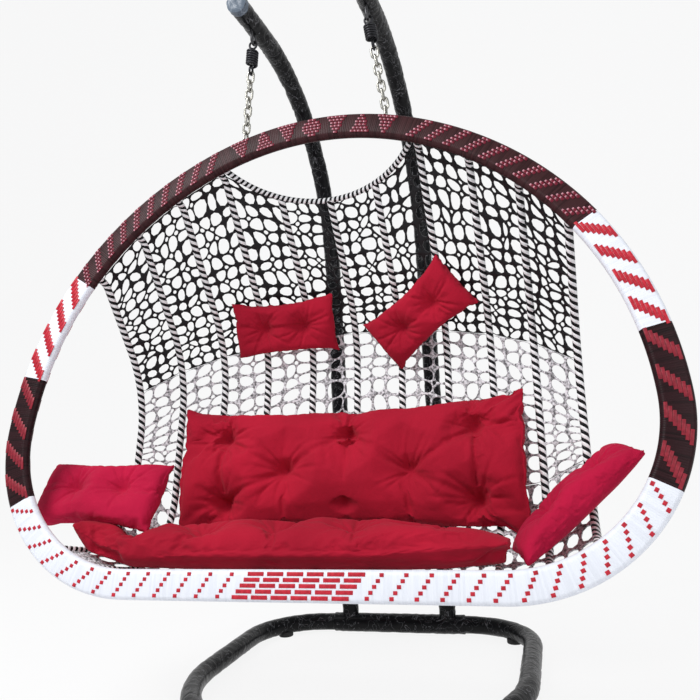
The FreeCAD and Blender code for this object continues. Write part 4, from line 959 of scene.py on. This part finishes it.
# Cushions: loose cotton covers in crimson, stuffed with fibre and sewn through at the tufts, from which
# the cloth pulls into creases. Each swells from its solid by cloth simulation with the tufts held.
def cloth_finish(name, colour):
    """Plain woven cotton: fine thread bump, soft sheen, and slow changes of tone where it has faded."""
    finish, tree, shader = new_finish(name, colour, roughness=0.88, gloss=0.08)
    shader.inputs["Sheen Weight"].default_value = 0.04
    faded = add_noise(tree, {"Scale": 6.0, "Detail": 4.0})
    dark, pale = ([part * tone for part in colour] for tone in (0.82, 1.12))
    tint_by(tree, shader, faded, (0.3, dark), (0.7, pale))
    thread = add_noise(tree, {"Scale": 700.0, "Detail": 2.0})
    fine = add_node(tree, "Bump", {"Height": thread, "Strength": 0.2, "Distance": 0.0006})
    folds = add_noise(tree, {"Scale": 24.0, "Detail": 3.0, "Distortion": 1.0})
    soft = bump_by(tree, shader, folds, strength=0.35, distance=0.006)
    tree.links.new(fine.outputs["Normal"], soft.inputs["Normal"])
    return finish


crimson = cloth_finish("crimson_cotton", (0.40, 0.010, 0.030))
bright_crimson = cloth_finish("bright_crimson_cotton", (0.48, 0.010, 0.050))
random.seed(31)


def points_of(mesh):
    """A mesh's points and the directions they face, a row each."""
    spots = np.empty(3 * len(mesh.vertices))
    ways = np.empty(3 * len(mesh.vertices))
    mesh.vertices.foreach_get("co", spots)
    mesh.vertex_normals.foreach_get("vector", ways)
    return spots.reshape(-1, 3), ways.reshape(-1, 3)


def put_points(mesh, spots):
    """Moves a mesh's points to new places, a row each."""
    mesh.vertices.foreach_set("co", spots.ravel())
    mesh.update()


def settle(piece):
    """Makes what a piece's modifiers have done its own mesh."""
    done = bpy.data.meshes.new_from_object(piece.evaluated_get(bpy.context.evaluated_depsgraph_get()))
    piece.modifiers.clear()
    piece.data = done
    return done


def own_axes(spots):
    """A cushion's middle and its directions of most, middle and least spread: right, up or back, and out."""
    middle = spots.mean(axis=0)
    out, up, right = np.linalg.eigh(np.cov((spots - middle).T))[1].T
    return middle, right * np.sign(right[0]), up * np.sign(up[1] + up[2]), out * np.sign(out[2] - out[1])


ray_count = 11
ray_start = 0.016
fold_width = 0.010
fold_reach = 0.21


def creases_at(u, v, places):
    """How deep the cloth is drawn at points of a cushion's face: rays from each tuft, which fade outwards
    with a raised lip on both sides, and a fold from each tuft to its near neighbours."""
    drop = np.zeros(len(u))
    for a, b in places:
        r = np.hypot(u - a, v - b)
        turn = np.arctan2(v - b, u - a)
        for count in range(ray_count):
            heading = (count + random.uniform(-0.4, 0.4)) * 2 * math.pi / ray_count
            reach = random.uniform(0.06, 0.14)
            off = turn - heading - random.uniform(-3, 3) * r
            aside = r * np.sin(off) / (0.0032 + 0.045 * r)
            fade = np.clip(1 - r / reach, 0, 1) * np.clip(r / ray_start, 0, 1) * (np.cos(off) > 0)
            drop += random.uniform(0.5, 1.0) * fade * (1 - 0.8 * aside**2) * np.exp(-(aside**2))
    for (a, b), (c, d) in itertools.combinations(places, 2):
        gap = math.hypot(c - a, d - b)
        if gap < fold_reach:
            run = ((u - a) * (c - a) + (v - b) * (d - b)) / gap**2
            aside = ((u - a) * (d - b) - (v - b) * (c - a)) / gap / fold_width
            fade = np.clip(8 * run, 0, 1) * np.clip(8 * (1 - run), 0, 1)
            deep = 1.4 * fade * (0.35 + 0.65 * np.abs(2 * run - 1))
            drop += deep * (1 - 0.5 * aside**2) * np.exp(-(aside**2))
    return drop


cover_inset = 0.004
tuft_core = 0.021
tuft_reach = 0.065
far_swell = 0.002
lump_height = 0.0045
lump_scale = 11
cloth_steps = 20


def stuffed(
    node, name, finish, voxel, cap, tufts, pull, depth, gather,
    sag=0.0, ends=(0, 0), droop=0.0, rear=0.0,
):
    """A cushion swollen from its CAD solid: remeshed, pulled in at its tufts, blown up as cloth by at most
    cap with the tufts held, then creased. Tufts are shares of its half length and half height, gather is
    the depth and pitch of the puckers along its seams, sag how far its lower edge hangs, ends how far its
    left and right ends have shifted to the right in use, droop how far its left end hangs, and rear how far
    its far edge is pushed back."""
    form = bmesh.new()
    form.from_mesh(frame["nodes"][node].data)
    bmesh.ops.remove_doubles(form, verts=form.verts, dist=1e-5)
    mesh = bpy.data.meshes.new(name)
    form.to_mesh(mesh)
    form.free()
    mesh.materials.clear()
    piece = bpy.data.objects.new(name, mesh)
    scene.collection.objects.link(piece)
    remesh = piece.modifiers.new("even", "REMESH")
    remesh.mode = "VOXEL"
    remesh.voxel_size = voxel
    even = settle(piece)

    start, ways = points_of(even)
    middle, right, up, out = own_axes(start)
    u, v = (start - middle) @ right, (start - middle) @ up
    half_long, half_high = np.abs(u).max(), np.abs(v).max()
    places = [(share_along * half_long, share_up * half_high) for share_along, share_up in tufts]
    facing = np.clip(ways @ out, 0, None)
    apart = np.array([np.hypot(u - a, v - b) for a, b in places])
    core, skirt = np.exp(-((apart / tuft_core) ** 2)), np.exp(-apart / tuft_reach)
    dip = np.clip((0.6 * core + 0.4 * skirt).sum(axis=0), 0, 1.2)
    start = start - ways * cover_inset - np.outer(pull * facing * dip, out)
    near, far = (np.clip(side * v / half_high, 0, 1) ** 2 for side in (-1, 1))
    start = start + np.outer(rear * far - sag * near, up)
    left_end, right_end = (np.clip((side * u / half_long - 0.4) / 0.6, 0, 1) ** 2 for side in (-1, 1))
    start = start + np.outer(ends[0] * left_end + ends[1] * right_end, right)
    start = start - np.outer(droop * left_end, out)
    put_points(even, start)
    held = piece.vertex_groups.new(name="tufts")
    held.add(np.flatnonzero((facing > 0.1) & (apart.min(axis=0) < 2 * voxel)).tolist(), 1.0, "REPLACE")
    cloth = piece.modifiers.new("blown", "CLOTH")
    cloth.settings.quality = 5
    cloth.settings.mass = 0.25
    cloth.settings.tension_stiffness = 12.0
    cloth.settings.compression_stiffness = 8.0
    cloth.settings.shear_stiffness = 5.0
    cloth.settings.bending_stiffness = 0.25
    cloth.settings.shrink_min = -0.05
    cloth.settings.use_pressure = True
    cloth.settings.uniform_pressure_force = 4.0
    cloth.settings.vertex_group_mass = "tufts"
    cloth.settings.effector_weights.gravity = 0.0
    cloth.point_cache.frame_start = 1
    cloth.point_cache.frame_end = cloth_steps
    for step in range(1, cloth_steps + 1):
        scene.frame_set(step)
    blown = settle(piece)
    scene.frame_set(1)
    shift = points_of(blown)[0] - start
    # the cushion's far side rests against the net, so it hardly swells that way
    shift = shift - np.outer(np.minimum(shift @ out + far_swell, 0), out)
    moved = np.linalg.norm(shift, axis=1, keepdims=True)
    put_points(blown, start + shift * np.minimum(1.0, cap / np.maximum(moved, 1e-9)))
    smooth = piece.modifiers.new("smooth", "SUBSURF")
    smooth.levels = 1
    smooth.render_levels = 1
    fine = settle(piece)

    spots, ways = points_of(fine)
    u, v = (spots - middle) @ right, (spots - middle) @ up
    lump = np.array([noise.noise(Vector(spot) * lump_scale) for spot in spots])
    seam = (1 - np.abs(ways @ out)) ** 2
    turn = (u * np.abs(ways @ up) + v * np.abs(ways @ right)) * 2 * math.pi / gather[1] + 4 * lump
    relief = (lump_height * lump + gather[0] * seam * np.sin(turn)) * np.clip(ways @ out + 0.5, 0, 1)
    spots = spots + ways * relief[:, None]
    spots = spots - np.outer(depth * np.clip(ways @ out, 0, None) * creases_at(u, v, places), out)
    put_points(fine, spots)
    fine.materials.clear()
    fine.materials.append(finish)
    for polygon in fine.polygons:
        polygon.use_smooth = True
    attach(piece, "basket")
    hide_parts(node)


back_tufts = [
    (-0.72, 0.42), (0.0, 0.44), (0.72, 0.42), (-0.36, -0.08), (0.36, -0.14), (-0.72, -0.52), (0.72, -0.56),
]
seat_tufts = [(-0.75, -0.15), (-0.4, -0.2), (-0.05, -0.15), (0.3, -0.2), (0.65, -0.15)]
pillow_tufts = [(-0.4, 0.0), (0.4, 0.0)]
stuffed(
    "seat_cushion", "seat_pad", crimson, voxel=0.007, cap=0.022, tufts=seat_tufts, pull=0.014,
    depth=0.007, gather=(0.0030, 0.046), ends=(-0.008, 0.020), droop=0.006, rear=0.045,
)
stuffed(
    "back_cushion", "back_pad", crimson, voxel=0.0066, cap=0.020, tufts=back_tufts, pull=0.038,
    depth=0.0085, gather=(0.0016, 0.030), sag=0.014,
)
for side_name, arm_sag, arm_ends in (("left", 0.024, (0, 0)), ("right", 0.008, (-0.010, -0.024))):
    head, arm = f"{side_name}_head", f"{side_name}_arm"
    stuffed(
        f"{head}_cushion", f"{head}_pad", crimson, voxel=0.005, cap=0.012, tufts=pillow_tufts,
        pull=0.018, depth=0.0055, gather=(0.0013, 0.020),
    )
    stuffed(
        f"{arm}_cushion", f"{arm}_pad", bright_crimson, voxel=0.005, cap=0.014,
        tufts=pillow_tufts, pull=0.014, depth=0.0055, gather=(0.0013, 0.022), sag=arm_sag, ends=arm_ends,
    )
